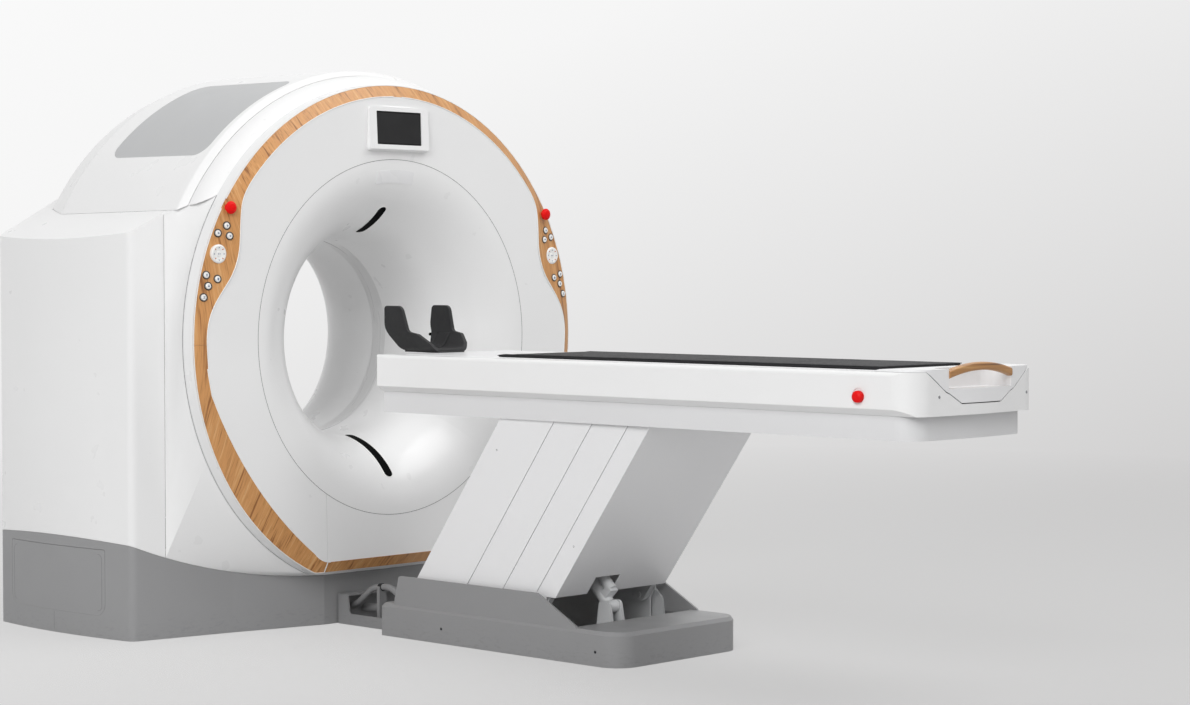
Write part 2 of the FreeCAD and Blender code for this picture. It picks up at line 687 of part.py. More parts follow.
def dial(spot):
    """Wide round control pad with a raised centre."""
    r, x, y, z = spot
    return turned_y([(0.0, y - 4.5), (8.5, y - 4.5), (9.5, y - 3.5), (11.0, y - 3.5), (r - 5.0, y - 5.5),
                     (r, y - 3.0), (r, y + 13.0), (12.0, y + 13.0), (12.0, y + 20.0), (0.0, y + 20.0)], x, z)


def emergency_knob(spot):
    """Red mushroom knob with its stem."""
    r, x, y, z = spot
    return turned_y([(0.0, y - 26.0), (12.0, y - 24.5), (ESTOP_R - 1.5, y - 20.0), (ESTOP_R, y - 17.0),
                     (ESTOP_R, y - 13.0), (r, y - 11.0), (r, y + 20.0), (0.0, y + 20.0)], x, z)


def table_knob():
    """Red knob on the left flank of the table."""
    face = rounded_wire([(0.0, -16.0), (10.0, -15.0), (TABLE_STOP_R - 1.0, -11.0), (TABLE_STOP_R, -8.0),
                         (TABLE_STOP_R, 10.0), (6.0, 10.0), (6.0, 24.0), (0.0, 24.0)],
                        lambda r, t: Vector(-TOP_HALF + t, TABLE_STOP_Y + r, TABLE_STOP_Z))
    centre = Vector(0.0, TABLE_STOP_Y, TABLE_STOP_Z)
    return Part.Face(face).revolve(centre, Vector(1, 0, 0), 360.0)


# Scanning parts

def gantry_frame():
    """Welded stand that carries the bearing."""
    hole = RACE_SPLIT_R + 5.0
    plate = sweep_ring([(hole, 640.3), (800.0, 640.3), (800.0, 665.0), (hole, 665.0)])
    rim = sweep_ring([(770.0, 640.3), (800.0, 640.3), (800.0, 700.0), (770.0, 700.0)])
    post = box(-880.0, -700.0, 650.0, 730.0, 60.0, 1010.0)
    post = post.cut(box(-868.0, -712.0, 640.0, 718.0, 120.0, 985.0))
    beam = prism_x([(300.0, 20.0), (900.0, 20.0), (900.0, 80.0), (790.0, 80.0), (750.0, 150.0, 20.0),
                    (630.0, 150.0, 20.0), (590.0, 80.0), (300.0, 80.0)], -880.0, -780.0)
    feet = [Part.makeCylinder(45.0, 21.0, Vector(-830.0, y, 0.0)) for y in (350.0, 850.0)]
    side = post.fuse(beam)
    for foot in feet:
        side = side.fuse(foot)
    cross = box(-790.0, 790.0, 650.0, 720.0, 20.0, 90.0)
    frame = plate.fuse(rim).fuse(side).fuse(mirrored(side)).fuse(cross)
    return group([frame])


def bearing_outer_race():
    """Fixed ring of the large bearing."""
    return sweep_ring([(RACE_SPLIT_R + 0.3, RACE_Y0), (RACE_OUT_R, RACE_Y0, 3.0), (RACE_OUT_R, RACE_Y1),
                       (RACE_SPLIT_R + 0.3, RACE_Y1)])


def bearing_inner_race():
    """Turning ring of the large bearing."""
    return sweep_ring([(HUB_R + 0.3, RACE_Y0), (RACE_SPLIT_R - 0.3, RACE_Y0), (RACE_SPLIT_R - 0.3, RACE_Y1),
                       (HUB_R + 0.3, RACE_Y1)])


def rotor_drum():
    """Turning disc with its outer rim, belt track and hub."""
    disc = sweep_ring([(400.0, DRUM_Y0), (DRUM_R, DRUM_Y0), (DRUM_R, DRUM_Y1), (400.0, DRUM_Y1)])
    rim = sweep_ring([(DRUM_R - 10.0, 320.0), (DRUM_R, 320.0), (DRUM_R, DRUM_Y1), (DRUM_R - 10.0, DRUM_Y1)])
    track = sweep_ring([(BELT_R - 14.0, DRUM_Y0 + 5.0), (BELT_R, DRUM_Y0 + 5.0), (BELT_R, BELT_Y1 + 2.0),
                        (BELT_R - 14.0, BELT_Y1 + 2.0)])
    hub = sweep_ring([(490.0, DRUM_Y0 + 5.0), (HUB_R, DRUM_Y0 + 5.0), (HUB_R, RACE_Y1), (490.0, RACE_Y1)])
    flange = sweep_ring([(HUB_R - 2.0, DRUM_Y1 - 2.0), (RACE_SPLIT_R - 4.0, DRUM_Y1 - 2.0),
                         (RACE_SPLIT_R - 4.0, RACE_Y0 - GAP), (HUB_R - 2.0, RACE_Y0 - GAP)])
    return group([disc.fuse(rim).fuse(track).fuse(hub).fuse(flange)])


def slip_ring():
    """Grooved power ring on the end of the hub."""
    outline = [(430.0, 640.3), (510.0, 640.3), (510.0, 652.0)]
    for i in range(4):
        y = 652.0 + 12.0 * i
        outline += [(504.0, y + 1.5), (504.0, y + 5.5), (510.0, y + 7.0), (510.0, y + 12.0)]
    outline += [(430.0, 700.0)]
    return sweep_ring(outline)


def xray_tube():
    """Tube housing over the bore with its end caps, window block and mounting foot."""
    z = BORE_Z + FOCUS_R
    y = DRUM_Y0 - TANK_R - 2.0
    tank = rod_x(TANK_R, -190.0, 190.0, y, z)
    caps = [rod_x(TANK_R - 20.0, -235.0, -180.0, y, z), rod_x(TANK_R - 20.0, 180.0, 235.0, y, z)]
    port = box(-60.0, 60.0, PLANE_Y - 60.0, PLANE_Y + 10.0, z - 130.0, z - 60.0)
    foot = box(-150.0, 150.0, PLANE_Y - 40.0, DRUM_Y0 - GAP, z - 60.0, z + 60.0)
    tube = tank.fuse(caps[0]).fuse(caps[1]).fuse(port).fuse(foot)
    return group([tube])


def detector_arc():
    """Curved row of detectors opposite the tube, centred on the tube's focus."""
    focus_z = BORE_Z + FOCUS_R
    near, far = DETECTOR_R, DETECTOR_R + 100.0
    front = PLANE_Y - 45.0
    section = [(near, front), (far - 30.0, front), (far, PLANE_Y + 30.0), (far, DRUM_Y0 - GAP),
               (near, DRUM_Y0 - GAP)]
    face = Part.Face(rounded_wire(section, lambda r, y: Vector(0.0, y, focus_z - r)))
    start = face.copy()
    start.rotate(Vector(0, 0, focus_z), Vector(0, 1, 0), -26.0)
    return group([start.revolve(Vector(0, 0, focus_z), Vector(0, 1, 0), 52.0)])


def rotor_modules():
    """Two generator boxes and their balance blocks, spread evenly about the axis."""
    modules = []
    for middle in (0.0, 180.0):
        shell = sweep_ring([(560.0, 350.0, 8.0), (755.0, 350.0, 8.0), (755.0, DRUM_Y0 - GAP),
                            (560.0, DRUM_Y0 - GAP)], middle - 22.0, middle + 22.0)
        modules.append(shell)
    return group(modules)


def belt_path(big_r, small_r):
    """Outline of a belt round the rotor track and the motor pulley."""
    dx, dz = MOTOR_X, MOTOR_Z - BORE_Z
    span = math.hypot(dx, dz)
    heading = math.atan2(dz, dx)
    lean = math.acos((big_r - small_r) / span)

    def on(radius, cx, cz, angle):
        return Vector(cx + radius * math.cos(angle), BELT_Y0, cz + radius * math.sin(angle))

    first, second = heading + lean, heading - lean
    big0 = on(big_r, 0.0, BORE_Z, first)
    big1 = on(big_r, 0.0, BORE_Z, second)
    small0 = on(small_r, MOTOR_X, MOTOR_Z, first)
    small1 = on(small_r, MOTOR_X, MOTOR_Z, second)
    far_side = on(big_r, 0.0, BORE_Z, heading + math.pi)
    near_side = on(small_r, MOTOR_X, MOTOR_Z, heading)
    return Part.Wire([arc(big0, far_side, big1), Part.makeLine(big1, small1), arc(small1, near_side, small0),
                      Part.makeLine(small0, big0)])


def drive_motor():
    """Rotor motor on its bracket, and the belt."""
    plate = prism_y([(MOTOR_X - 95.0, 80.3), (MOTOR_X - 15.0, 80.3), (MOTOR_X + 80.0, MOTOR_Z - 60.0, 40.0),
                     (MOTOR_X + 80.0, MOTOR_Z + 80.0, 30.0), (MOTOR_X - 80.0, MOTOR_Z + 80.0, 30.0),
                     (MOTOR_X - 95.0, MOTOR_Z - 60.0, 40.0)], 556.0, 570.0)
    motor = rod_y(72.0, 390.0, 557.0, MOTOR_X, MOTOR_Z)
    cap = rod_y(58.0, 360.0, 391.0, MOTOR_X, MOTOR_Z)
    body = plate.fuse(motor).fuse(cap).cut(rod_y(12.05, 520.0, 600.0, MOTOR_X, MOTOR_Z))
    outer = Part.Face(belt_path(BELT_R + 4.3, PULLEY_R + 4.3)).extrude(Vector(0, BELT_Y1 - BELT_Y0, 0))
    inner = Part.Face(belt_path(BELT_R + GAP, PULLEY_R + GAP)).extrude(Vector(0, BELT_Y1 - BELT_Y0, 0))
    return group([body, outer.cut(inner)])


def motor_pulley():
    """Small belt wheel on the motor shaft."""
    wheel = rod_y(PULLEY_R, BELT_Y0 - 4.0, BELT_Y1 + 4.0, MOTOR_X, MOTOR_Z)
    shaft = rod_y(12.0, 521.0, BELT_Y0, MOTOR_X, MOTOR_Z)
    return group([wheel.fuse(shaft)])


# Table

def top_outline(inset=0.0):
    """Section of the table's upper body with its trough."""
    half = [(-TRAY_HALF, TRAY_TOP_Z + GAP), (-TOP_HALF, TOP_LOW_Z, 4.0), (-TOP_HALF, TOP_Z, 12.0)]
    half += [(-x, z) for x, z in NOTCH]
    if inset:
        half = [(-TRAY_HALF + inset, TRAY_TOP_Z - 5.0), (-TOP_HALF + inset, TOP_LOW_Z + 4.0),
                (-TOP_HALF + inset, TOP_Z - inset, 7.0), (-254.0, TOP_Z - inset), (-170.0, 878.0),
                (-155.0, 872.0), (-100.0, 843.0), (-100.0, TRAY_TOP_Z - 5.0)]
    return half


def foot_plan(half_width, foot_y, crown, radius):
    """Table seen from above with rounded corners and a crowned foot end."""
    return [(-half_width, HEAD_Y, 6.0), (-half_width, foot_y, radius), (0.0, foot_y - crown, 1200.0),
            (half_width, foot_y, radius), (half_width, HEAD_Y, 6.0)]


def table_cover():
    """White upper body of the table with the trough the cradle slides in."""
    floor = [(-95.0, 850.0), (95.0, 850.0)]
    half = top_outline()
    right = [(-c[0],) + tuple(c[1:]) for c in reversed(half)]
    section = half[:-1] + floor + right[1:]
    section = section + [(TRAY_HALF - 3.0, TRAY_TOP_Z + GAP), (-TRAY_HALF + 3.0, TRAY_TOP_Z + GAP)]
    body = prism_y(section, FOOT_Y - 60.0, HEAD_Y + 10.0)
    body = body.common(prism_z(foot_plan(TOP_HALF, FOOT_Y, FOOT_CROWN, 80.0), 700.0, 1000.0))
    cavity = prism_y(top_outline(SHELL), FOOT_Y - 60.0, HEAD_Y + 10.0)
    under = box(-101.0, 101.0, FOOT_Y - 60.0, HEAD_Y + 10.0, TRAY_TOP_Z - 5.0, 843.0)
    cavity = cavity.fuse(mirrored(cavity)).fuse(under)
    limit = prism_z([(-TOP_HALF + SHELL, HEAD_Y - SHELL), (-TOP_HALF + SHELL, FOOT_Y + SHELL, 74.0),
                     (0.0, FOOT_Y - FOOT_CROWN + SHELL, 1200.0), (TOP_HALF - SHELL, FOOT_Y + SHELL, 74.0),
                     (TOP_HALF - SHELL, HEAD_Y - SHELL)], 700.0, 1000.0)
    body = body.cut(cavity.common(limit))
    hole = rod_x(TABLE_STOP_R + GAP, -TOP_HALF - 20.0, -TOP_HALF + 20.0, TABLE_STOP_Y, TABLE_STOP_Z)
    seat = rod_x(24.0, -TOP_HALF - 20.0, -TOP_HALF + 2.5, TABLE_STOP_Y, TABLE_STOP_Z)
    return group([body.cut(group([hole, seat, mirrored(hole), mirrored(seat)]))])


def table_tray():
    """Lower body of the table: a long tray open below over the lift, with the upper pivot pins."""
    outer = prism_z(foot_plan(TRAY_HALF, FOOT_Y + 21.0, 17.0, 70.0), TRAY_LOW_Z, TRAY_TOP_Z)
    inner = prism_z([(-TRAY_HALF + SHELL, HEAD_Y - SHELL), (-TRAY_HALF + SHELL, FOOT_Y + 21.0 + SHELL, 64.0),
                     (0.0, FOOT_Y + 4.0 + SHELL, 1200.0), (TRAY_HALF - SHELL, FOOT_Y + 21.0 + SHELL, 64.0),
                     (TRAY_HALF - SHELL, HEAD_Y - SHELL)], TRAY_LOW_Z + SHELL, TRAY_TOP_Z + 1.0)
    tray = outer.cut(inner)
    tray = tray.cut(prism_z([(-268.8, -1480.0), (268.8, -1480.0), (268.8, -540.0), (-268.8, -540.0)],
                            TRAY_LOW_Z - 1.0, TRAY_LOW_Z + 7.0))
    for layer, y in enumerate(link_pivots()):
        pin_y, pin_z = upper_pivot(y)
        inner_x = -ARM_X0 + 4.0 if layer in (0, 3) else -layer_x(layer) + PLATE + GAP
        pin = rod_x(PIN_R, -TRAY_HALF + 3.0, inner_x, pin_y, pin_z)
        tray = tray.fuse(pin).fuse(mirrored(pin))
    return group([tray])


def link_pivots():
    """Depth of the four lower pivots."""
    return (ARM_Y, PLATE_A_Y, PLATE_B_Y, REAR_Y_PIVOT)


def layer_x(layer):
    """Distance from the middle plane to the outer face of one layer of side plates."""
    return PLATE_X - layer * PLATE_STEP


def upper_pivot(y):
    """Upper pivot of the link that starts at depth y."""
    turn = math.radians(LINK_TILT)
    return y - LINK_LENGTH * math.sin(turn), PIVOT_Z + LINK_LENGTH * math.cos(turn)


def lean_y(y, z):
    """Depth at height z of a line leaning with the links through (y, SEAM_REF_Z)."""
    return y - math.tan(math.radians(LINK_TILT)) * (z - SEAM_REF_Z)


def cradle_top():
    """Sliding table top: a curved slab with runners below and a tongue at its head."""
    half = [(-CRADLE_HALF, TOP_Z, 5.0), (-CRADLE_HALF, 928.0, 8.0), (-150.0, CRADLE_LOW_Z + 2.0, 90.0),
            (-60.0, CRADLE_LOW_Z)]
    slab_body = prism_y(whole(half), CRADLE_FOOT_Y, HEAD_Y - 3.0)
    wide = CRADLE_HALF + 1.0
    head = prism_z([(-wide, CRADLE_FOOT_Y - 1.0), (wide, CRADLE_FOOT_Y - 1.0), (wide, HEAD_Y - 3.0, 60.0),
                    (-wide, HEAD_Y - 3.0, 60.0)], 800.0, 1000.0)
    slab_body = slab_body.common(head)
    runner = box(-85.0, -60.0, CRADLE_FOOT_Y, HEAD_Y - 40.0, 850.3, 900.0)
    tongue = prism_z([(-62.0, -340.0), (62.0, -340.0), (62.0, -150.0, 30.0), (-62.0, -150.0, 30.0)],
                     925.0, TOP_Z)
    return group([slab_body.fuse(runner).fuse(mirrored(runner)).fuse(tongue)])


def mattress():
    """Flat crowned cushion with a wedge at its head."""
    half = [(-PAD_HALF, TOP_Z + GAP, 2.0), (-PAD_HALF, PAD_Z - 5.0, 6.0),
            (-PAD_HALF + 30.0, PAD_Z - 1.5, 60.0), (-40.0, PAD_Z)]
    outline = whole(half)
    pad = prism_y(outline, PAD_FOOT_Y, PAD_HEAD_Y)
    side = prism_x([(PAD_HEAD_Y, TOP_Z), (PAD_HEAD_Y, TOP_Z + 5.0), (PAD_HEAD_Y - 55.0, PAD_Z + 1.0, 40.0),
                    (PAD_FOOT_Y + 6.0, PAD_Z + 1.0, 5.0), (PAD_FOOT_Y, PAD_Z - 5.0), (PAD_FOOT_Y, TOP_Z)],
                   -PAD_HALF - 5.0, PAD_HALF + 5.0)
    return pad.common(side)


def head_holder():
    """Black trough with two cheeks at the head of the cradle."""
    wall = 12.0
    outer = [(-118.0, 1106.0), (-112.0, 1010.0, 60.0), (-70.0, 945.3, 40.0)]
    inner = [(-118.0 + wall, 1106.0), (-111.0 + wall, 1012.0, 50.0), (-70.0 + wall * 0.5, 945.3 + wall, 32.0)]
    section = outer + [(-c[0],) + tuple(c[1:]) for c in reversed(outer)]
    section += [(-c[0],) + tuple(c[1:]) for c in inner] + [tuple(c) for c in reversed(inner)]
    trough = prism_y(section, -282.0, -60.0)
    side = prism_x([(-105.0, 945.0, 40.0), (-62.0, 1032.0, 60.0), (-66.0, 1102.0, 14.0),
                    (-150.0, 1102.0, 26.0), (-176.0, 1014.0, 18.0), (-222.0, 1006.0, 12.0),
                    (-262.0, 975.0, 8.0), (-280.0, 945.0)], -160.0, 160.0)
    holder = trough.common(side)
    lip = prism_y([(-60.0, 943.3), (60.0, 943.3), (60.0, 952.0), (-60.0, 952.0)], -278.0, -108.0)
    return group([holder.fuse(lip)])


def end_block():
    """White end piece of the cradle with a hand recess and a cap plate with wings."""
    clear = 3.0
    half = [(-290.0, TOP_Z + 0.6), (-290.0, TOP_Z + 7.0, 3.0)]
    block = [(-NOTCH[0][0] + 4.5, TOP_Z + 0.6), (-NOTCH[1][0], NOTCH[1][1] + clear + 1.0),
             (-NOTCH[2][0], NOTCH[2][1] + clear + 0.5), (-NOTCH[3][0], NOTCH[3][1] + clear)]
    section = whole(half[::-1] + block)
    body = prism_y(section, FOOT_Y - 60.0, BLOCK_Y)
    plan = [(-290.0, BLOCK_Y, 4.0), (-290.0, FOOT_Y - 1.0, 70.0), (0.0, FOOT_Y - FOOT_CROWN - 1.0, 1200.0),
            (290.0, FOOT_Y - 1.0, 70.0), (290.0, BLOCK_Y, 4.0)]
    body = body.common(prism_z(plan, 700.0, 1000.0))
    start = BLOCK_Y + 1.0
    ramp = prism_x([(start, TOP_Z + 1.5), (BLOCK_Y - 30.0, TOP_Z + 8.0), (start, TOP_Z + 8.0)], -300.0, 300.0)
    recess = prism_z([(-153.0, FOOT_Y - 90.0), (153.0, FOOT_Y - 90.0), (153.0, FOOT_Y + 66.0, 50.0),
                      (-153.0, FOOT_Y + 66.0, 50.0)], 894.0, 1000.0)
    return group([body.cut(ramp).cut(recess)])


def wood_handle():
    """Arched wooden grip across the hand recess."""
    y = FOOT_Y - 2.0
    end = Vector(-170.0, y, 929.0)
    path = Part.Wire([arc(end, Vector(0.0, y - 7.0, 955.0), Vector(170.0, y, 929.0))])
    half_y, half_z, r = 12.0, 12.0, 7.0
    corners = [(-half_y, -half_z, r), (half_y, -half_z, r), (half_y, half_z, r), (-half_y, half_z, r)]
    section = rounded_wire(corners, lambda u, v: Vector(end.x, y + u, end.z + v))
    bar = path.makePipeShell([section], True, False)
    return group([bar.common(box(-152.7, 152.7, y - 60.0, y + 60.0, 850.0, 1000.0))])


# Lift

def link_sheet(layer, seam0, seam1, pivot):
    """Thin leaning side plate on the left, with an ear round each of its two pivots."""
    x0 = -layer_x(layer)
    end = seam1 + 0.8
    corners = [(lean_y(seam0, PLATE_LOW_Z), PLATE_LOW_Z), (lean_y(seam0, PLATE_TOP_Z), PLATE_TOP_Z),
               (lean_y(end, PLATE_TOP_Z), PLATE_TOP_Z), (lean_y(end, PLATE_LOW_Z), PLATE_LOW_Z)]
    sheet = prism_x(corners, x0, x0 + PLATE)
    top_y, top_z = upper_pivot(pivot)
    ears = [prism_x([(pivot - 20.0, PIVOT_Z - 18.0, 12.0), (pivot + 20.0, PIVOT_Z - 18.0, 12.0),
                     (pivot - 2.0, PIVOT_Z + 60.0), (pivot - 60.0, PIVOT_Z + 60.0)], x0, x0 + PLATE),
            prism_x([(top_y - 20.0, top_z + 17.0, 12.0), (top_y + 20.0, top_z + 17.0, 12.0),
                     (top_y + 60.0, top_z - 60.0), (top_y + 2.0, top_z - 60.0)], x0, x0 + PLATE)]
    for ear in ears:
        sheet = sheet.fuse(ear)
    hole = rod_x(PIN_R + 0.05, x0 - 5.0, x0 + 8.0, pivot, PIVOT_Z)
    top = rod_x(PIN_R + 0.35, x0 - 5.0, x0 + 8.0, top_y, top_z)
    return sheet.cut(group([hole, top]))


def cross_wall(seam, low_z, inside, reach):
    """Leaning wall joining a pair of side plates."""
    way = 1.0 if inside > 0 else -1.0
    corners = [(lean_y(seam, low_z), low_z), (lean_y(seam, PLATE_TOP_Z), PLATE_TOP_Z),
               (lean_y(seam, PLATE_TOP_Z) + way * 3.2, PLATE_TOP_Z), (lean_y(seam, low_z) + way * 3.2, low_z)]
    return prism_x(corners, -reach, reach)


def gantry_side_cover():
    """First pair of side plates and the wall facing the housing."""
    sheet = link_sheet(0, SEAMS[0], SEAMS[1], ARM_Y)
    wall = cross_wall(SEAMS[0], PLATE_LOW_Z, -1.0, PLATE_X)
    cover = sheet.fuse(mirrored(sheet)).fuse(wall)
    return group([cover])


def foot_end_cover():
    """Last pair of side plates and the wall facing the foot end, notched for the actuator."""
    sheet = link_sheet(3, SEAMS[3], SEAMS[4] - 0.8, REAR_Y_PIVOT)
    reach = layer_x(3)
    wall = cross_wall(SEAMS[4], WALL_LOW_Z, 1.0, reach)
    edge_y = lean_y(SEAMS[4], WALL_LOW_Z)
    low = box(-reach - 1.0, reach + 1.0, edge_y - 30.0, edge_y + 40.0, WALL_LOW_Z - 51.0, WALL_LOW_Z)
    sheet = sheet.cut(low.cut(rod_x(26.0, -400.0, 400.0, REAR_Y_PIVOT, PIVOT_Z)))
    notch = box(-115.0, 0.0, edge_y - 180.0, edge_y + 120.0, WALL_LOW_Z - 41.0, WALL_LOW_Z + 56.0)
    cover = sheet.fuse(mirrored(sheet)).fuse(wall).cut(notch)
    return group([cover])


def side_plates(layer, seam0, seam1, pivot):
    """A left and a right side plate of one link line."""
    return both(link_sheet(layer, seam0, seam1, pivot))


def link_bar(pivot, width):
    """Strong flat arm on the left between a lower and an upper pivot."""
    top_y, top_z = upper_pivot(pivot)
    middle = Vector((-ARM_X1), (pivot + top_y) / 2.0, (PIVOT_Z + top_z) / 2.0)
    bar = box(-ARM_X1, -ARM_X0, middle.y - width / 2.0, middle.y + width / 2.0, middle.z - LINK_LENGTH / 2.0,
              middle.z + LINK_LENGTH / 2.0)
    bar.rotate(middle, Vector(1, 0, 0), LINK_TILT)
    for y, z in ((pivot, PIVOT_Z), (top_y, top_z)):
        bar = bar.fuse(rod_x(width / 2.0, -ARM_X1, -ARM_X0, y, z))
    top_play = 0.05 if pivot == ARM_Y else 0.35
    hole = rod_x(PIN_R + 0.05, -ARM_X1 - 5.0, -ARM_X0 + 5.0, pivot, PIVOT_Z)
    top = rod_x(PIN_R + top_play, -ARM_X1 - 5.0, -ARM_X0 + 5.0, top_y, top_z)
    return bar.cut(group([hole, top]))


def along_link(pivot, distance):
    """Point at a distance up a link from its lower pivot."""
    turn = math.radians(LINK_TILT)
    return pivot - distance * math.sin(turn), PIVOT_Z + distance * math.cos(turn)


def lift_arm():
    """Front pair of arms with two cross tubes."""
    arm = link_bar(ARM_Y, 52.0)
    arms = arm.fuse(mirrored(arm))
    for distance in (130.0, 640.0):
        y, z = along_link(ARM_Y, distance)
        arms = arms.fuse(rod_x(19.0, -ARM_X0 - 2.0, ARM_X0 + 2.0, y, z))
    return group([arms])


def rear_link():
    """Rear pair of arms with cross tubes and the lug the actuator pushes."""
    arm = link_bar(REAR_Y_PIVOT, 44.0)
    arms = arm.fuse(mirrored(arm))
    for distance in (190.0, 640.0):
        y, z = along_link(REAR_Y_PIVOT, distance)
        arms = arms.fuse(rod_x(18.0, -ARM_X0 - 2.0, ARM_X0 + 2.0, y, z))
    y, z = along_link(REAR_Y_PIVOT, 190.0)
    lug = prism_x([(y - 24.0, z - 26.0, 10.0), (y + 10.0, z - 30.0, 10.0), (LUG_Y + 24.0, LUG_Z - 24.0, 16.0),
                   (LUG_Y + 24.0, LUG_Z + 24.0, 16.0), (y - 10.0, z + 34.0, 12.0)],
                  ACT_X + FORK_HALF, ACT_X + FORK_HALF + 8.0)
    other = lug.copy()
    other.translate(Vector(-2.0 * FORK_HALF - 8.0, 0, 0))
    pin = rod_x(9.0, ACT_X - FORK_HALF - 7.0, ACT_X + FORK_HALF + 7.0, LUG_Y, LUG_Z)
    return group([arms.fuse(lug).fuse(other).fuse(pin)])


def actuator_frame():
    """Length and lean of the actuator at rest."""
    dy, dz = LUG_Y - ACT_Y, LUG_Z - ACT_Z
    return math.hypot(dy, dz), math.degrees(math.atan2(dz, dy))


def set_along(shape):
    """Turn a shape built along +Y from the origin onto the actuator line."""
    placed = shape.copy()
    placed.rotate(Vector(0, 0, 0), Vector(1, 0, 0), actuator_frame()[1])
    placed.translate(Vector(ACT_X, ACT_Y, ACT_Z))
    return placed


def actuator_barrel():
    """Hinged tube of the lifting actuator with its motor."""
    eye = Part.makeCylinder(20.0, 2.0 * FORK_HALF - 4.0, Vector(2.0 - FORK_HALF, 0, 0), Vector(1, 0, 0))
    tube = Part.makeCylinder(TUBE_R, 148.0, Vector(0, 12.0, 0), Vector(0, 1, 0))
    motor = Part.makeCylinder(18.0, 90.0, Vector(0, 34.0, 43.0), Vector(0, 1, 0))
    box_part = Part.makeBox(34.0, 26.0, 58.0, Vector(-17.0, 24.0, -9.0))
    bore = Part.makeCylinder(10.05, 160.0, Vector(0, 40.0, 0), Vector(0, 1, 0))
    hole = Part.makeCylinder(7.05, 60.0, Vector(-30.0, 0, 0), Vector(1, 0, 0))
    return group([set_along(eye.fuse(tube).fuse(motor).fuse(box_part).cut(bore).cut(hole))])


def actuator_rod():
    """Sliding rod of the actuator with a wide eye that lets the pin float."""
    length = actuator_frame()[0]
    rod = Part.makeCylinder(10.0, length - 112.0, Vector(0, 96.0, 0), Vector(0, 1, 0))
    eye = Part.makeCylinder(22.0, 2.0 * FORK_HALF - 4.0, Vector(2.0 - FORK_HALF, length, 0), Vector(1, 0, 0))
    hole = Part.makeCylinder(12.2, 60.0, Vector(-30.0, length, 0), Vector(1, 0, 0))
    return group([set_along(rod.fuse(eye).cut(hole))])


# Base

def base_cover():
    """Grey base shell with side cheeks about the lift."""
    def plan(inset):
        x, corner = BASE_HALF - inset, 80.0 - inset
        return [(-x, BASE_HEAD_Y - inset, 10.0), (-x, BASE_FOOT_Y + inset, corner),
                (x, BASE_FOOT_Y + inset, corner), (x, BASE_HEAD_Y - inset, 10.0)]

    low = prism_z(plan(0.0), 0.0, BASE_Z - 12.0)
    steps = [rounded_wire(plan(0.0), lambda u, v: Vector(u, v, BASE_Z - 12.0)),
             rounded_wire(plan(9.0), lambda u, v: Vector(u, v, BASE_Z))]
    shell = low.fuse(Part.makeLoft(steps, True, True))
    inner = prism_z(plan(7.0), -1.0, BASE_Z - 13.0)
    well = prism_z([(-281.5, -1125.0, 20.0), (281.5, -1125.0, 20.0), (281.5, -345.0, 20.0),
                    (-281.5, -345.0, 20.0)], -1.0, 300.0)
    cheek = prism_x([(-298.0, 95.0), (-325.0, CHEEK_Z, 12.0), (-974.0, CHEEK_Z, 30.0),
                     (-1145.0, BASE_Z + 4.0, 10.0), (-1150.0, 95.0)], -CHEEK_X, -CHEEK_X + 8.0)
    shell = shell.cut(inner).cut(well)
    return group([shell.fuse(cheek).fuse(mirrored(cheek))])


def base_frame():
    """Steel floor plate with side plates, lower pivot pins and the actuator bracket."""
    floor = prism_z([(-262.0, -1300.0, 30.0), (262.0, -1300.0, 30.0), (262.0, -300.0), (-262.0, -300.0)],
                    2.0, 12.0)
    side = prism_x([(-380.0, 2.0), (-380.0, 150.0, 30.0), (-420.0, 185.0, 20.0), (-950.0, 185.0, 20.0),
                    (-1000.0, 140.0, 30.0), (-1020.0, 2.0)], -281.0, -273.0)
    sill = box(-281.0, -255.0, -1020.0, -380.0, 2.0, 12.0)
    inner_x = -ARM_X1 - 0.6
    start, end, top = ARM_Y + 26.0, REAR_Y_PIVOT - 26.0, PIVOT_Z + 22.0
    rib = prism_x([(start, 10.0), (start, top, 22.0), (end, top, 22.0), (end, 10.0)], inner_x - 6.0, inner_x)
    frame = floor
    parts = [side, sill, rib]
    for layer, y in enumerate(link_pivots()):
        outer = 276.0 if layer == 0 else layer_x(layer) + 0.2
        inner = ARM_X0 - 4.0 if layer in (0, 3) else -inner_x
        parts.append(rod_x(PIN_R, -outer, -inner, y, PIVOT_Z))
    for part in parts:
        frame = frame.fuse(part).fuse(mirrored(part))
    bracket = prism_x([(ACT_Y - 50.0, 2.0), (ACT_Y - 34.0, 100.0, 20.0), (ACT_Y - 22.0, ACT_Z + 20.0, 16.0),
                       (ACT_Y + 24.0, ACT_Z + 20.0, 16.0), (ACT_Y + 45.0, 2.0)],
                      ACT_X - FORK_HALF - 8.0, ACT_X - FORK_HALF)
    other = bracket.copy()
    other.translate(Vector(2.0 * FORK_HALF + 8.0, 0, 0))
    pin = rod_x(7.0, ACT_X - FORK_HALF - 7.0, ACT_X + FORK_HALF + 7.0, ACT_Y, ACT_Z)
    return group([frame.fuse(bracket).fuse(other).fuse(pin)])


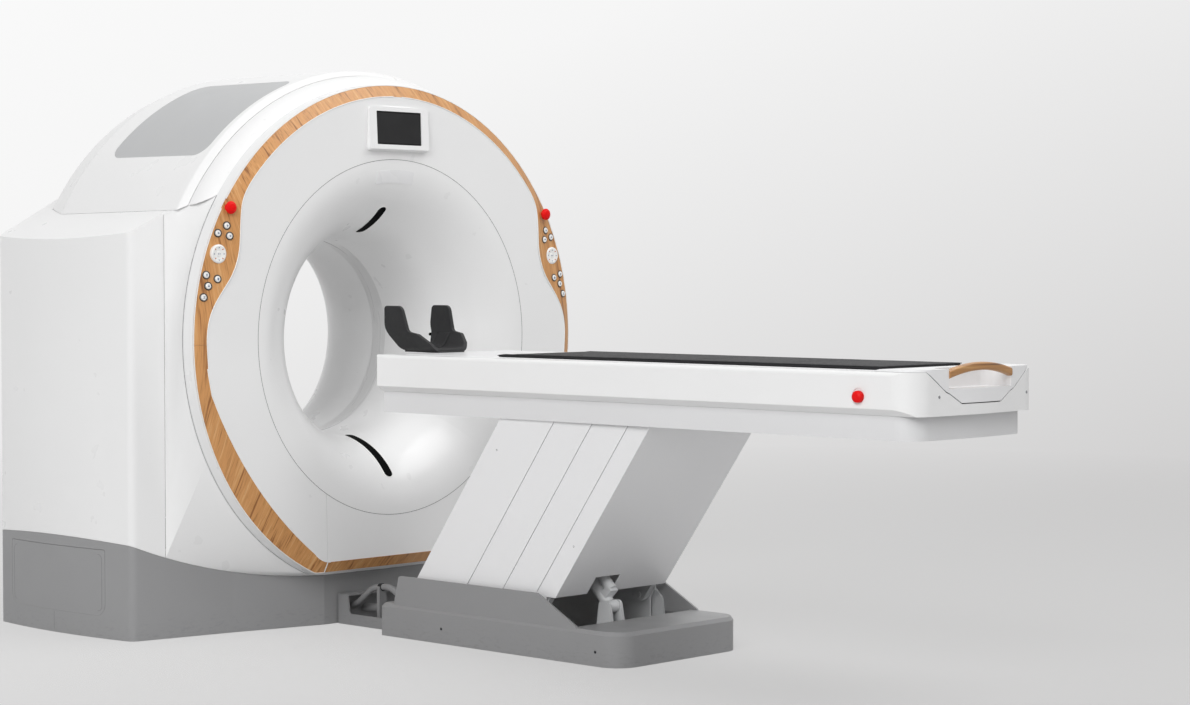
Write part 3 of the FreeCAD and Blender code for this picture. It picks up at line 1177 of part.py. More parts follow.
def hose(x, points, radius, bend):
    """Round hose along (y, z) points with even bends, cut square at the base and the trunk's back wall."""
    spots = [Vector(x, y, z) for y, z in points]
    runs = []
    last = spots[0]
    for before, corner, after in zip(spots, spots[1:], spots[2:]):
        back = (before - corner).normalize()
        ahead = (after - corner).normalize()
        half = back.getAngle(ahead) / 2.0
        start = corner + back * (bend / math.tan(half))
        end = corner + ahead * (bend / math.tan(half))
        middle = corner + (back + ahead).normalize() * (bend / math.sin(half) - bend)
        runs.append(Part.LineSegment(last, start).toShape())
        runs.append(Part.Arc(start, middle, end).toShape())
        last = end
    runs.append(Part.LineSegment(last, spots[-1]).toShape())
    ring = Part.Wire([Part.Circle(spots[0], spots[1] - spots[0], radius).toShape()])
    tube = Part.Wire(runs).makePipe(Part.Face(ring))
    return tube.common(box(x - 50.0, x + 50.0, BASE_HEAD_Y + GAP, 66.0 - GAP, 0.0, 200.0))


def cable_trunk():
    """Open trunk between the housing and the base, with three hoses held in clips."""
    front = BASE_HEAD_Y + GAP
    floor = box(-208.0, 208.0, front, 74.7, 0.0, 6.0)
    lip = prism_x([(front, 0.0), (front, 38.0), (18.0, 38.0, 10.0), (26.0, 104.0, 8.0), (70.0, 104.0),
                   (70.0, 0.0)], -208.0, -202.0)
    back = box(-208.0, 208.0, 66.0, 74.7, 0.0, 104.0)
    lid = box(-208.0, 208.0, 28.0, 74.7, 98.0, 104.0)
    trunk = floor.fuse(lip).fuse(mirrored(lip)).fuse(back).fuse(lid)
    high = hose(-150.0, [(84.0, 51.0), (30.0, 74.0), (-40.0, 128.0), (-130.0, 140.0), (-262.0, 56.0)],
                11.0, 90.0)
    low = hose(-94.0, [(84.0, 44.0), (-20.0, 52.0), (-100.0, 66.0), (-180.0, 62.0), (-262.0, 50.0)],
               15.0, 250.0)
    flat = hose(63.0, [(84.0, 33.0), (-20.0, 36.0), (-110.0, 40.0), (-180.0, 38.0), (-262.0, 35.0)],
                18.0, 250.0)
    for x, y, z, r in ((-150.0, -85.0, 137.5, 11.0), (-94.0, -60.0, 59.0, 15.0), (63.0, -70.0, 38.6, 18.0)):
        trunk = trunk.fuse(box(x - r - 5.0, x + r + 5.0, y - 7.0, y + 7.0, 5.0, z))
    trunk = trunk.cut(group([high, low, flat]))
    return group([trunk, high, low, flat])


def write_parts():
    """Build every node and write it as its own file."""
    os.makedirs("parts", exist_ok=True)
    bulk = front_bulk()
    spots = control_spots(bulk)
    nodes = {
        "plinth": plinth(),
        "front_cover": front_cover(bulk, spots),
        "wood_trim": wood_trim(bulk, spots),
        "side_covers": side_covers(),
        "hood": hood(),
        "roof_windows": roof_windows(),
        "rear_cover": rear_cover(),
        "funnel_front": funnel_front(),
        "funnel_rear": funnel_rear(),
        "scan_window": scan_window(),
        "display_bezel": display_bezel(),
        "display_screen": display_screen(),
        "gantry_frame": gantry_frame(),
        "bearing_outer_race": bearing_outer_race(),
        "drive_motor": drive_motor(),
        "rotor_drum": rotor_drum(),
        "bearing_inner_race": bearing_inner_race(),
        "xray_tube": xray_tube(),
        "detector_arc": detector_arc(),
        "rotor_modules": rotor_modules(),
        "slip_ring": slip_ring(),
        "motor_pulley": motor_pulley(),
        "base_cover": base_cover(),
        "base_frame": base_frame(),
        "cable_trunk": cable_trunk(),
        "lift_arm": lift_arm(),
        "gantry_side_cover": gantry_side_cover(),
        "rear_link": rear_link(),
        "foot_end_cover": foot_end_cover(),
        "side_plates_a": side_plates(1, SEAMS[1], SEAMS[2], PLATE_A_Y),
        "side_plates_b": side_plates(2, SEAMS[2], SEAMS[3], PLATE_B_Y),
        "actuator_barrel": actuator_barrel(),
        "actuator_rod": actuator_rod(),
        "table_tray": table_tray(),
        "table_cover": table_cover(),
        "cradle_top": cradle_top(),
        "mattress": mattress(),
        "head_holder": head_holder(),
        "end_block": end_block(),
        "wood_handle": wood_handle(),
        "estop_table_left": table_knob(),
        "estop_table_right": mirrored(table_knob()),
    }
    for number, spot in enumerate(spots[:7], start=1):
        cap = key_cap(spot)
        nodes[f"key_left_{number}"] = cap
        nodes[f"key_right_{number}"] = mirrored(cap)
    nodes["dial_left"] = dial(spots[7])
    nodes["dial_right"] = mirrored(nodes["dial_left"])
    nodes["estop_left"] = emergency_knob(spots[8])
    nodes["estop_right"] = mirrored(nodes["estop_left"])
    for name, shape in nodes.items():
        shape.exportStep(os.path.join("parts", name + ".step"))


write_parts()
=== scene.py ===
"""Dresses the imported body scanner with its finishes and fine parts, and sets it in a plain pale studio.

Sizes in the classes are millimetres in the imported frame: X to the right, Y back into the housing and Z up
from the floor.
"""

import sys
import logging
import math
from dataclasses import dataclass
from enum import Enum
from typing import Callable, Sequence

import bmesh
import bpy
from mathutils import Matrix, Vector
from mathutils.bvhtree import BVHTree


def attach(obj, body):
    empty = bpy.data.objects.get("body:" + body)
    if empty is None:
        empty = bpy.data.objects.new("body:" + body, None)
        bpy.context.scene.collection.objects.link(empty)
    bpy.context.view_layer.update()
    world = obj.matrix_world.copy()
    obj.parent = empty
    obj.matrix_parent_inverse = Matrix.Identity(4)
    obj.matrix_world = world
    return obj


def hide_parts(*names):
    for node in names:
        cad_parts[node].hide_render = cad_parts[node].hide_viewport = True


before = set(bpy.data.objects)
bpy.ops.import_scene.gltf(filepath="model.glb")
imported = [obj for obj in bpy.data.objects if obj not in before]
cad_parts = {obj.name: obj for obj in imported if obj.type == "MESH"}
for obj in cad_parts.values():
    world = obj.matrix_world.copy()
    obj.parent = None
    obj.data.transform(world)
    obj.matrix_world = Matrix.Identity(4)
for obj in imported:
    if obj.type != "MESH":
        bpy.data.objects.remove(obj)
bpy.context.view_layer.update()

LOG = logging.getLogger("scanner")
MM = 0.001
BORE_Z = 990.0
TO_FRONT = (0.0, -1.0, 0.0)
TO_BACK = (0.0, 1.0, 0.0)
UP = (0.0, 0.0, 1.0)
Colour = tuple[float, float, float, float]
Spot = tuple[float, float, float]
Flat = tuple[float, float]
Outline = tuple[Flat, ...]
Socket = bpy.types.NodeSocket
Piece = bpy.types.Object
Material = bpy.types.Material
Node = bpy.types.Node


class Side(Enum):
    """Which half of the machine a part is on."""

    LEFT = -1.0
    RIGHT = 1.0


class Grain(Enum):
    """How the wood of a piece was cut."""

    UPRIGHT = "fans out slowly up and down from the bore's height"
    LENGTHWISE = "runs along X"


class Sign(Enum):
    """Plain pictures on the keys, as flat outlines about 10 across."""

    UP = (((-4.0, -0.5), (4.0, -0.5), (0.0, 4.5)), ((-1.2, -4.5), (1.2, -4.5), (1.2, -0.4), (-1.2, -0.4)))
    DOWN = (((4.0, 0.5), (-4.0, 0.5), (0.0, -4.5)), ((-1.2, 0.4), (1.2, 0.4), (1.2, 4.5), (-1.2, 4.5)))
    IN = (((0.0, -3.6), (4.4, 0.0), (0.0, 3.6)), ((-4.4, -1.0), (-0.1, -1.0), (-0.1, 1.0), (-4.4, 1.0)))
    OUT = (((0.0, 3.6), (-4.4, 0.0), (0.0, -3.6)), ((0.1, -1.0), (4.4, -1.0), (4.4, 1.0), (0.1, 1.0)))
    HOME = (((-4.4, 0.3), (4.4, 0.3), (0.0, 4.4)), ((-2.9, -4.0), (2.9, -4.0), (2.9, 0.2), (-2.9, 0.2)))
    LAMP = (((-2.2, -2.2), (2.2, -2.2), (3.0, 0.6), (0.0, 3.4), (-3.0, 0.6)),
            ((-1.5, -4.2), (1.5, -4.2), (1.5, -2.8), (-1.5, -2.8)))
    FREE = (((-3.4, -3.4), (3.4, -3.4), (3.4, -2.0), (-3.4, -2.0)),
            ((-3.4, 2.0), (3.4, 2.0), (3.4, 3.4), (-3.4, 3.4)),
            ((-1.0, -1.4), (1.0, -1.4), (1.0, 1.4), (-1.0, 1.4)))


def tone(red: float, green: float, blue: float) -> Colour:
    """Turns a colour seen on screen, 0 to 255, into the linear values shaders take.

    Args:
        red: Red as seen.
        green: Green as seen.
        blue: Blue as seen.

    Returns:
        The linear colour with full alpha.
    """
    def linear(value: float) -> float:
        """One channel."""
        share = value / 255.0
        return share / 12.92 if share <= 0.04045 else ((share + 0.055) / 1.055) ** 2.4

    return linear(red), linear(green), linear(blue), 1.0


def dimmed(colour: Colour, share: float) -> Colour:
    """A colour scaled by a share, with full alpha."""
    return colour[0] * share, colour[1] * share, colour[2] * share, 1.0


# Finishes

class Graph:
    """A node tree that is filled node by node."""

    def __init__(self, tree: bpy.types.NodeTree) -> None:
        """Empties the tree.

        Args:
            tree: The tree to fill.
        """
        self.tree = tree
        self.tree.nodes.clear()

    def join(self, source: Socket, target: Socket) -> None:
        """Links one socket to another."""
        self.tree.links.new(source, target)

    def add(self, kind: str, links: dict[str | int, object] | None = None, **settings: object) -> Node:
        """Adds a node and fills its inputs.

        Args:
            kind: The node's type name.
            links: Sockets or values for its inputs, by name or place.
            **settings: Properties set on it first.

        Returns:
            The new node.
        """
        made = self.tree.nodes.new(kind)
        for key, value in settings.items():
            setattr(made, key, value)
        for key, value in (links or {}).items():
            if isinstance(value, Socket):
                self.join(value, made.inputs[key])
            else:
                made.inputs[key].default_value = value
        return made

    def math(self, operation: str, a: Socket | float, b: Socket | float = 0.0) -> Socket:
        """Works out one value from two."""
        return self.add("ShaderNodeMath", {0: a, 1: b}, operation=operation).outputs[0]

    def ramp(self, source: Socket, stops: Sequence[tuple[float, Colour]]) -> Socket:
        """Turns a value into a colour.

        Args:
            source: The value.
            stops: Places and colours, in order.

        Returns:
            The socket with the colour.
        """
        made = self.add("ShaderNodeValToRGB", {"Fac": source})
        line = made.color_ramp.elements
        while len(line) < len(stops):
            line.new(0.5)
        for element, (place, colour) in zip(line, stops):
            element.position = place
            element.color = colour
        return made.outputs["Color"]

    def straight(self) -> Socket:
        """1 for what the camera, a mirror or a glass shows, 0 for the rays that only carry light.

        Returns:
            The socket with the value.
        """
        path = self.add("ShaderNodeLightPath").outputs
        seen = self.math("MAXIMUM", path["Is Camera Ray"], path["Is Glossy Ray"])
        return self.math("MAXIMUM", seen, path["Is Transmission Ray"])

    def mixed(self, share: Socket, first: Socket, second: Socket) -> Socket:
        """Mixes two shaders."""
        return self.add("ShaderNodeMixShader", {0: share, 1: first, 2: second}).outputs[0]


class Pen(Graph):
    """Draws one material round a main shader."""

    def __init__(self, name: str) -> None:
        """Starts a material with nothing but its shader.

        Args:
            name: What the material is called.
        """
        self.material = bpy.data.materials.new(name)
        self.material.use_nodes = True
        super().__init__(self.material.node_tree)
        self.shader = self.add("ShaderNodeBsdfPrincipled")
        self.out = self.add("ShaderNodeOutputMaterial", {"Surface": self.shader.outputs["BSDF"]})
        self.spot = self.add("ShaderNodeTexCoord").outputs["Object"]

    def set(self, **values: object) -> None:
        """Sets the shader's own sockets; an underscore in a name stands for a space."""
        for key, value in values.items():
            self.shader.inputs[key.replace("_", " ")].default_value = value

    def scaled(self, size: Spot, spot: Socket | None = None) -> Socket:
        """The place on the piece, or another place, stretched along each axis for a pattern."""
        return self.add("ShaderNodeMapping", {"Scale": size, "Vector": spot or self.spot}).outputs["Vector"]

    def noise(self, scale: float, detail: float = 2.0, spot: Socket | None = None, rough: float = 0.5,
              warp: float = 0.0) -> Socket:
        """A cloudy pattern, 0 to 1.

        Args:
            scale: Waves per metre.
            detail: Octaves.
            spot: Where to read it, if not at the piece's own place.
            rough: Weight of the finer octaves.
            warp: How much it is bent.

        Returns:
            The socket with its value.
        """
        made = self.add("ShaderNodeTexNoise", {"Scale": scale, "Detail": detail, "Roughness": rough,
                                               "Distortion": warp, "Vector": spot or self.spot})
        return made.outputs["Fac"]

    def cells(self, scale: float) -> Socket:
        """Distance to the borders of small cells, as on grained vinyl."""
        return self.add("ShaderNodeTexVoronoi", {"Scale": scale, "Vector": self.spot},
                        feature="DISTANCE_TO_EDGE").outputs["Distance"]

    def between(self, source: Socket, low: float, high: float, start: float = 0.0,
                end: float = 1.0) -> Socket:
        """Maps a value from one range to another, clamped.

        Args:
            source: The value.
            low: Result at the start.
            high: Result at the end.
            start: Value that gives low.
            end: Value that gives high.

        Returns:
            The socket with the result.
        """
        return self.add("ShaderNodeMapRange", {"Value": source, "From Min": start, "From Max": end,
                                               "To Min": low, "To Max": high}).outputs["Result"]

    def blend(self, share: Socket, a: Socket | Colour, b: Socket | Colour) -> Socket:
        """Mixes two colours."""
        return self.add("ShaderNodeMix", {0: share, 6: a, 7: b}, data_type="RGBA").outputs[2]

    def clouded(self, source: Socket, colour: Colour, dim: float, margin: float = 0.3) -> Socket:
        """A colour that turns dimmer where a 0 to 1 value is low."""
        return self.ramp(source, [(margin, dimmed(colour, dim)), (1.0 - margin, colour)])

    def colour(self, source: Socket) -> None:
        """Uses a socket as the base colour."""
        self.join(source, self.shader.inputs["Base Color"])

    def roughness(self, source: Socket, low: float, high: float) -> None:
        """Varies the roughness with a 0 to 1 value."""
        self.join(self.between(source, low, high, start=0.3, end=0.7), self.shader.inputs["Roughness"])

    def bump(self, source: Socket, strength: float, height: float = 0.0003) -> None:
        """Raises the surface with a value, up to a height in metres."""
        made = self.add("ShaderNodeBump", {"Strength": strength, "Distance": height, "Height": source})
        self.join(made.outputs["Normal"], self.shader.inputs["Normal"])

    def place(self) -> tuple[Socket, Socket, Socket]:
        """The three parts of the place on the piece."""
        return tuple(self.add("ShaderNodeSeparateXYZ", {0: self.spot}).outputs)


@dataclass(frozen=True)
class Paint:
    """Sprayed or moulded plastic: faint tint drift, orange peel, and scuffs near the floor."""

    name: str
    colour: Colour
    rough: float = 0.34
    coat: float = 0.25
    drift: float = 0.98
    peel: float = 0.05
    scuffed: bool = False
    grit: float = 0.0
    scuff_top: float = 90.0

    def build(self) -> Material:
        """Makes the material.

        Returns:
            The material.
        """
        pen = Pen(f"finish_{self.name}")
        shade = pen.clouded(pen.noise(scale=1.6), self.colour, self.drift, margin=0.32)
        if self.scuffed:
            low = pen.between(pen.place()[2], low=1.0, high=0.0, end=self.scuff_top * MM)
            smears = pen.noise(scale=38.0, detail=6.0, spot=pen.scaled((1.0, 1.0, 3.0)), rough=0.7)
            worn = pen.math("MULTIPLY", low, pen.between(smears, low=0.0, high=0.45, start=0.52, end=0.72))
            shade = pen.blend(worn, shade, dimmed(self.colour, 0.55))
        pen.colour(shade)
        pen.roughness(pen.noise(scale=9.0, detail=3.0), self.rough - 0.03, self.rough + 0.04)
        skin = pen.noise(scale=70.0, detail=1.0)
        if self.grit:
            fine = pen.noise(scale=420.0, detail=1.0)
            skin = pen.math("ADD", skin, pen.math("MULTIPLY", fine, self.grit))
        pen.bump(skin, self.peel)
        pen.set(Coat_Weight=self.coat, Coat_Roughness=0.12, Specular_IOR_Level=0.45)
        return pen.material


@dataclass(frozen=True)
class Oak:
    """Oiled oak veneer with streaks, short dark pores and a satin lacquer.

    Its patterns are given in waves per metre across, through and along the grain.
    """

    name: str
    grain: Grain
    light: Colour = tone(218, 170, 116)
    middle: Colour = tone(200, 144, 88)
    dark: Colour = tone(136, 84, 42)
    fan: float = 0.33
    bands: Spot = (46.0, 9.0, 1.5)
    streaks: Spot = (115.0, 30.0, 2.6)
    pores: Spot = (760.0, 80.0, 14.0)

    def build(self) -> Material:
        """Makes the material.

        Returns:
            The material.
        """
        pen = Pen(f"finish_{self.name}_{self.grain.name.lower()}")
        x, y, z = pen.place()
        across, along = z, x
        if self.grain is Grain.UPRIGHT:
            rise = pen.math("SUBTRACT", z, BORE_Z * MM)
            fanned = pen.math("MULTIPLY", pen.math("MULTIPLY", rise, rise), self.fan)
            across, along = pen.math("ADD", x, fanned), z
        spot = pen.add("ShaderNodeCombineXYZ", {0: across, 1: y, 2: along}).outputs[0]
        band = pen.noise(1.0, detail=2.0, spot=pen.scaled(self.bands, spot), warp=0.15)
        streak = pen.noise(1.0, detail=3.0, spot=pen.scaled(self.streaks, spot), rough=0.6, warp=0.1)
        pore = pen.noise(1.0, detail=1.0, spot=pen.scaled(self.pores, spot))
        figure = pen.math("ADD", pen.math("MULTIPLY", band, 0.4), pen.math("MULTIPLY", streak, 0.6))
        wood = pen.ramp(figure, [(0.36, self.dark), (0.45, self.middle), (0.53, dimmed(self.middle, 1.06)),
                                 (0.64, self.light)])
        flecks = pen.between(pore, low=0.0, high=0.5, start=0.60, end=0.72)
        pen.colour(pen.blend(flecks, wood, dimmed(self.dark, 0.8)))
        pen.roughness(streak, 0.34, 0.50)
        pen.bump(pen.math("SUBTRACT", pen.math("MULTIPLY", streak, 0.5), flecks), 0.12)
        pen.set(Coat_Weight=0.18, Coat_Roughness=0.22, Specular_IOR_Level=0.4)
        return pen.material


@dataclass(frozen=True)
class Metal:
    """Machined, drawn or zinc plated metal with fine marks along one axis."""

    name: str
    colour: Colour
    rough: float = 0.3
    lines: Spot = (900.0, 40.0, 900.0)
    spots: float = 0.0

    def build(self) -> Material:
        """Makes the material.

        Returns:
            The material.
        """
        pen = Pen(f"finish_{self.name}")
        brushed = pen.noise(1.0, detail=3.0, spot=pen.scaled(self.lines), rough=0.6)
        shade = pen.clouded(pen.noise(scale=14.0, detail=5.0, rough=0.6), self.colour, 0.82)
        if self.spots:
            flake = pen.noise(scale=90.0, detail=3.0)
            flake = pen.between(flake, low=0.0, high=self.spots, start=0.45, end=0.6)
            shade = pen.blend(flake, shade, dimmed(self.colour, 0.6))
        pen.colour(shade)
        pen.roughness(brushed, self.rough - 0.08, self.rough + 0.1)
        pen.bump(brushed, 0.08, 0.0002)
        pen.set(Metallic=1.0)
        return pen.material


@dataclass(frozen=True)
class Vinyl:
    """Padded vinyl or soft moulded skin with a leather grain."""

    name: str
    colour: Colour
    cell: float = 620.0
    rough: float = 0.46
    relief: float = 0.35
    shine: float = 0.22

    def build(self) -> Material:
        """Makes the material.

        Returns:
            The material.
        """
        pen = Pen(f"finish_{self.name}_{int(self.cell)}")
        pen.colour(pen.clouded(pen.noise(scale=6.0, detail=4.0), self.colour, 0.8))
        grain = pen.between(pen.cells(self.cell), low=0.0, high=1.0, end=0.22)
        crease = pen.noise(scale=70.0, detail=5.0, rough=0.6)
        pen.roughness(crease, self.rough - 0.06, self.rough + 0.08)
        pen.bump(pen.math("ADD", grain, pen.math("MULTIPLY", crease, 1.2)), self.relief)
        pen.set(Specular_IOR_Level=self.shine)
        return pen.material


@dataclass(frozen=True)
class ScreenGlass:
    """Switched-off display: black rim, dark grey field, glossy glass."""

    name: str
    half_width: float = 99.0
    low: float = 1665.5
    high: float = 1769.5
    rim: Colour = tone(7, 7, 8)
    dull: Colour = tone(33, 33, 34)
    pale: Colour = tone(38, 38, 39)

    def build(self) -> Material:
        """Makes the material.

        Returns:
            The material.
        """
        pen = Pen(f"finish_{self.name}")
        x, _, z = pen.place()
        inside = pen.math("LESS_THAN", pen.math("ABSOLUTE", x), self.half_width * MM)
        inside = pen.math("MULTIPLY", inside, pen.math("GREATER_THAN", z, self.low * MM))
        inside = pen.math("MULTIPLY", inside, pen.math("LESS_THAN", z, self.high * MM))
        picture = pen.ramp(pen.noise(scale=9.0), [(0.3, self.dull), (0.7, self.pale)])
        pen.colour(pen.blend(inside, self.rim, picture))
        pen.roughness(pen.noise(scale=60.0, detail=3.0), 0.06, 0.12)
        pen.set(Specular_IOR_Level=0.3)
        return pen.material


@dataclass(frozen=True)
class WindowFilm:
    """Milky plastic film the rays pass through."""

    name: str
    colour: Colour = tone(226, 226, 226)

    def build(self) -> Material:
        """Makes the material.

        Returns:
            The material.
        """
        pen = Pen(f"finish_{self.name}")
        streaks = pen.noise(1.0, detail=2.0, spot=pen.scaled((3.0, 60.0, 3.0)))
        pen.colour(pen.clouded(streaks, self.colour, 0.975))
        pen.roughness(streaks, 0.26, 0.32)
        pen.set(Transmission_Weight=0.04, IOR=1.45)
        return pen.material


Finish = Paint | Oak | Metal | Vinyl | ScreenGlass | WindowFilm
SHELL_WHITE = tone(240, 240, 240)
FINISHES: dict[str, Finish] = {finish.name: finish for finish in (
    Paint("white_shell", SHELL_WHITE, 0.30, 0.3),
    Paint("bezel_white", SHELL_WHITE, 0.32, 0.2),
    Paint("table_white", SHELL_WHITE, 0.32, 0.3),
    # a greyer copy of the table's white: painted shade under the table's overhang
    Paint("tray_white", tone(222, 222, 223), 0.40, 0.15),
    Paint("cradle_white", tone(238, 238, 239), 0.34, 0.2),
    Paint("sheet_white", tone(234, 234, 235), 0.34, 0.15),
    Paint("grey_shell", tone(150, 150, 151), 0.46, 0.05, 0.97, 0.08, scuffed=True, grit=0.4),
    Paint("base_grey", tone(142, 142, 143), 0.46, 0.05, 0.97, 0.08, scuffed=True, grit=0.4),
    Paint("trunk_grey", tone(136, 136, 137), 0.5, 0.0, 0.95, 0.08, scuffed=True, grit=0.4),
    Paint("window_grey", tone(186, 187, 188), 0.42, 0.08, 0.98, 0.06, grit=0.4),
    Paint("key_white", tone(243, 243, 241), 0.28, 0.4),
    Vinyl("stop_red", tone(244, 4, 5), 1500.0, 0.5, 0.03),
    # pale grey of the bead in the groove behind the front cover: painted soft shade of that groove
    Paint("seal_grey", tone(226, 226, 227), 0.55, 0.0, 0.95),
    Paint("collar", tone(66, 58, 50), 0.35, 0.2, 0.85, 0.1),
    Paint("sign_blue", tone(112, 126, 152), 0.5, 0.0, 0.9),
    Paint("sign_orange", tone(196, 108, 62), 0.5, 0.0, 0.9),
    # dark grey that paints shade: in the funnel's seam gap and inside the rear grilles
    Paint("seam_dark", tone(72, 72, 74), 0.6, 0.0, 0.8, 0.1),
    Vinyl("slot_black", tone(5, 5, 6), 1500.0, 0.5, 0.05, 0.02),
    Paint("lens_clear", tone(239, 239, 240), 0.26, 0.3, 0.985, 0.04),
    Metal("screw_black", tone(52, 52, 55), 0.38),
    Metal("screw_zinc", tone(178, 180, 182), 0.3, spots=0.4),
    Paint("frame_steel", tone(92, 97, 104), 0.5, 0.0, 0.9, 0.2, grit=0.6),
    Metal("bearing_steel", tone(188, 190, 192), 0.24),
    Paint("motor_grey", tone(84, 88, 92), 0.48, 0.0, 0.9, 0.2, grit=0.6),
    Metal("drum_metal", tone(176, 178, 180), 0.34, (60.0, 900.0, 60.0)),
    Metal("tube_metal", tone(170, 172, 170), 0.38, (40.0, 900.0, 900.0)),
    Paint("detector_dark", tone(52, 54, 58), 0.5, 0.0, 0.85, 0.2, grit=0.5),
    Paint("module_grey", tone(142, 146, 150), 0.46, 0.0, 0.92, 0.2, grit=0.5),
    Metal("slip_ring_mix", tone(196, 152, 96), 0.28, (60.0, 1200.0, 60.0)),
    Metal("pulley_steel", tone(168, 170, 172), 0.3, (60.0, 900.0, 60.0)),
    Paint("lift_steel", tone(206, 207, 208), 0.36, 0.1, 0.95, 0.12),
    Paint("actuator_metal", tone(222, 223, 224), 0.32, 0.2, 0.95, 0.08),
    Metal("rod_chrome", tone(226, 227, 228), 0.14, (900.0, 60.0, 60.0)),
    Vinyl("pad_black", tone(42, 42, 44), 620.0, 0.6),
    Vinyl("holder_black", tone(50, 50, 51), 900.0, 0.55, 0.15),
    Vinyl("liner_black", tone(46, 46, 47), 380.0, 0.7, 0.4),
    Vinyl("thread_grey", tone(74, 74, 76), 1500.0, 0.7, 0.3),
    Vinyl("hose_grey", tone(168, 169, 170), 1400.0, 0.5, 0.2),
    WindowFilm("clear_window"),
    ScreenGlass("screen_black"),
)} | {
    "oak_ring": Oak("oak", Grain.UPRIGHT),
    "oak_handle": Oak("oak", Grain.LENGTHWISE, tone(198, 152, 98), tone(172, 124, 74), tone(108, 70, 36)),
}

NODE_FINISH: dict[str, tuple[str, ...]] = {
    "white_shell": ("front_cover", "side_covers", "hood", "rear_cover", "funnel_front", "funnel_rear"),
    "grey_shell": ("plinth",),
    "window_grey": ("roof_windows",),
    "oak_ring": ("wood_trim",),
    "oak_handle": ("wood_handle",),
    "clear_window": ("scan_window",),
    "bezel_white": ("display_bezel",),
    "screen_black": ("display_screen",),
    "frame_steel": ("gantry_frame",),
    "bearing_steel": ("bearing_outer_race", "bearing_inner_race"),
    "motor_grey": ("drive_motor",),
    "drum_metal": ("rotor_drum",),
    "tube_metal": ("xray_tube",),
    "detector_dark": ("detector_arc",),
    "module_grey": ("rotor_modules",),
    "slip_ring_mix": ("slip_ring",),
    "pulley_steel": ("motor_pulley",),
    "base_grey": ("base_cover",),
    "trunk_grey": ("cable_trunk",),
    "lift_steel": ("lift_arm", "rear_link", "base_frame"),
    "sheet_white": ("gantry_side_cover", "foot_end_cover", "side_plates_a", "side_plates_b"),
    "actuator_metal": ("actuator_barrel",),
    "rod_chrome": ("actuator_rod",),
    "table_white": ("table_cover",),
    "tray_white": ("table_tray",),
    "cradle_white": ("cradle_top", "end_block"),
    "pad_black": ("mattress",),
    "holder_black": ("head_holder",),
}


class Wardrobe:
    """Makes each finish once, and dresses the CAD nodes and the new pieces."""

    def __init__(self) -> None:
        """Starts with nothing made."""
        self.made: dict[str, Material] = {}

    def get(self, name: str) -> Material:
        """The material of a finish, made on first use.

        Args:
            name: Its name.

        Returns:
            The material.
        """
        if name not in self.made:
            self.made[name] = FINISHES[name].build()
        return self.made[name]

    def dress_nodes(self) -> None:
        """Gives every CAD node its finish."""
        chosen = {node: finish for finish, nodes in NODE_FINISH.items() for node in nodes}
        for name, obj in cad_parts.items():
            if name.startswith("estop"):
                finish = "stop_red"
            elif name.startswith(("key_", "dial_")):
                finish = "key_white"
            else:
                finish = chosen[name]
            worn = obj.data.materials
            if not worn:
                worn.append(None)
            for place in range(len(worn)):
                worn[place] = self.get(finish)
            LOG.info("node %s wears %s", name, finish)

    def dress(self, obj: Piece, body: str, finish: str) -> Piece:
        """Gives a new piece its finish, body and slot.

        Args:
            obj: The piece.
            body: The CAD body it moves with.
            finish: The name of its finish.

        Returns:
            The same piece.
        """
        obj.data.materials.clear()
        obj.data.materials.append(self.get(finish))
        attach(obj, body)
        LOG.info("piece %s rides on %s, %d faces", obj.name, body, len(obj.data.polygons))
        return obj


# Shapes

def add_object(name: str, data: bpy.types.ID) -> Piece:
    """Puts a mesh, lamp or camera into the scene as an object at the origin.

    Args:
        name: Its name.
        data: The mesh, lamp or camera.

    Returns:
        The object.
    """
    obj = bpy.data.objects.new(name, data)
    bpy.context.scene.collection.objects.link(obj)
    return obj


def add_piece(name: str, points: Sequence[Vector | Spot], faces: Sequence[Sequence[int]],
              smooth: bool = True) -> Piece:
    """Makes a mesh object from points in millimetres.

    Args:
        name: The piece's name.
        points: Its corners.
        faces: Corner numbers of each face.
        smooth: Whether it is shaded smooth.

    Returns:
        The object, at the origin.
    """
    mesh = bpy.data.meshes.new(name)
    mesh.from_pydata([Vector(p) * MM for p in points], [], [list(f) for f in faces])
    shell = bmesh.new()
    shell.from_mesh(mesh)
    bmesh.ops.remove_doubles(shell, verts=shell.verts, dist=1e-7)
    bmesh.ops.recalc_face_normals(shell, faces=shell.faces)
    shell.to_mesh(mesh)
    shell.free()
    if smooth:
        mesh.polygons.foreach_set("use_smooth", [True] * len(mesh.polygons))
    return add_object(name, mesh)


def add_chain(name: str, points: Sequence[Spot], closed: bool = False) -> Piece:
    """Makes a seed of joined edges that a tree grows along.

    Args:
        name: The piece's name.
        points: The line, in millimetres.
        closed: Whether its ends join.

    Returns:
        The seed object.
    """
    mesh = bpy.data.meshes.new(name)
    edges = [(i, i + 1) for i in range(len(points) - 1)]
    if closed:
        edges.append((len(points) - 1, 0))
    mesh.from_pydata([Vector(p) * MM for p in points], edges, [])
    return add_object(name, mesh)


def round_points(count: int, radius: float, middle: Flat = (0.0, 0.0)) -> list[Flat]:
    """Points at even steps on a circle."""
    turns = [math.tau * i / count for i in range(count)]
    return [(middle[0] + radius * math.cos(a), middle[1] + radius * math.sin(a)) for a in turns]


def laid(outline: Outline, x: float, z: float, scale: float = 1.0, degrees: float = 0.0) -> list[Flat]:
    """An outline scaled, turned and moved to a place."""
    cos, sin = scale * math.cos(math.radians(degrees)), scale * math.sin(math.radians(degrees))
    return [(x + cos * u - sin * v, z + sin * u + cos * v) for u, v in outline]


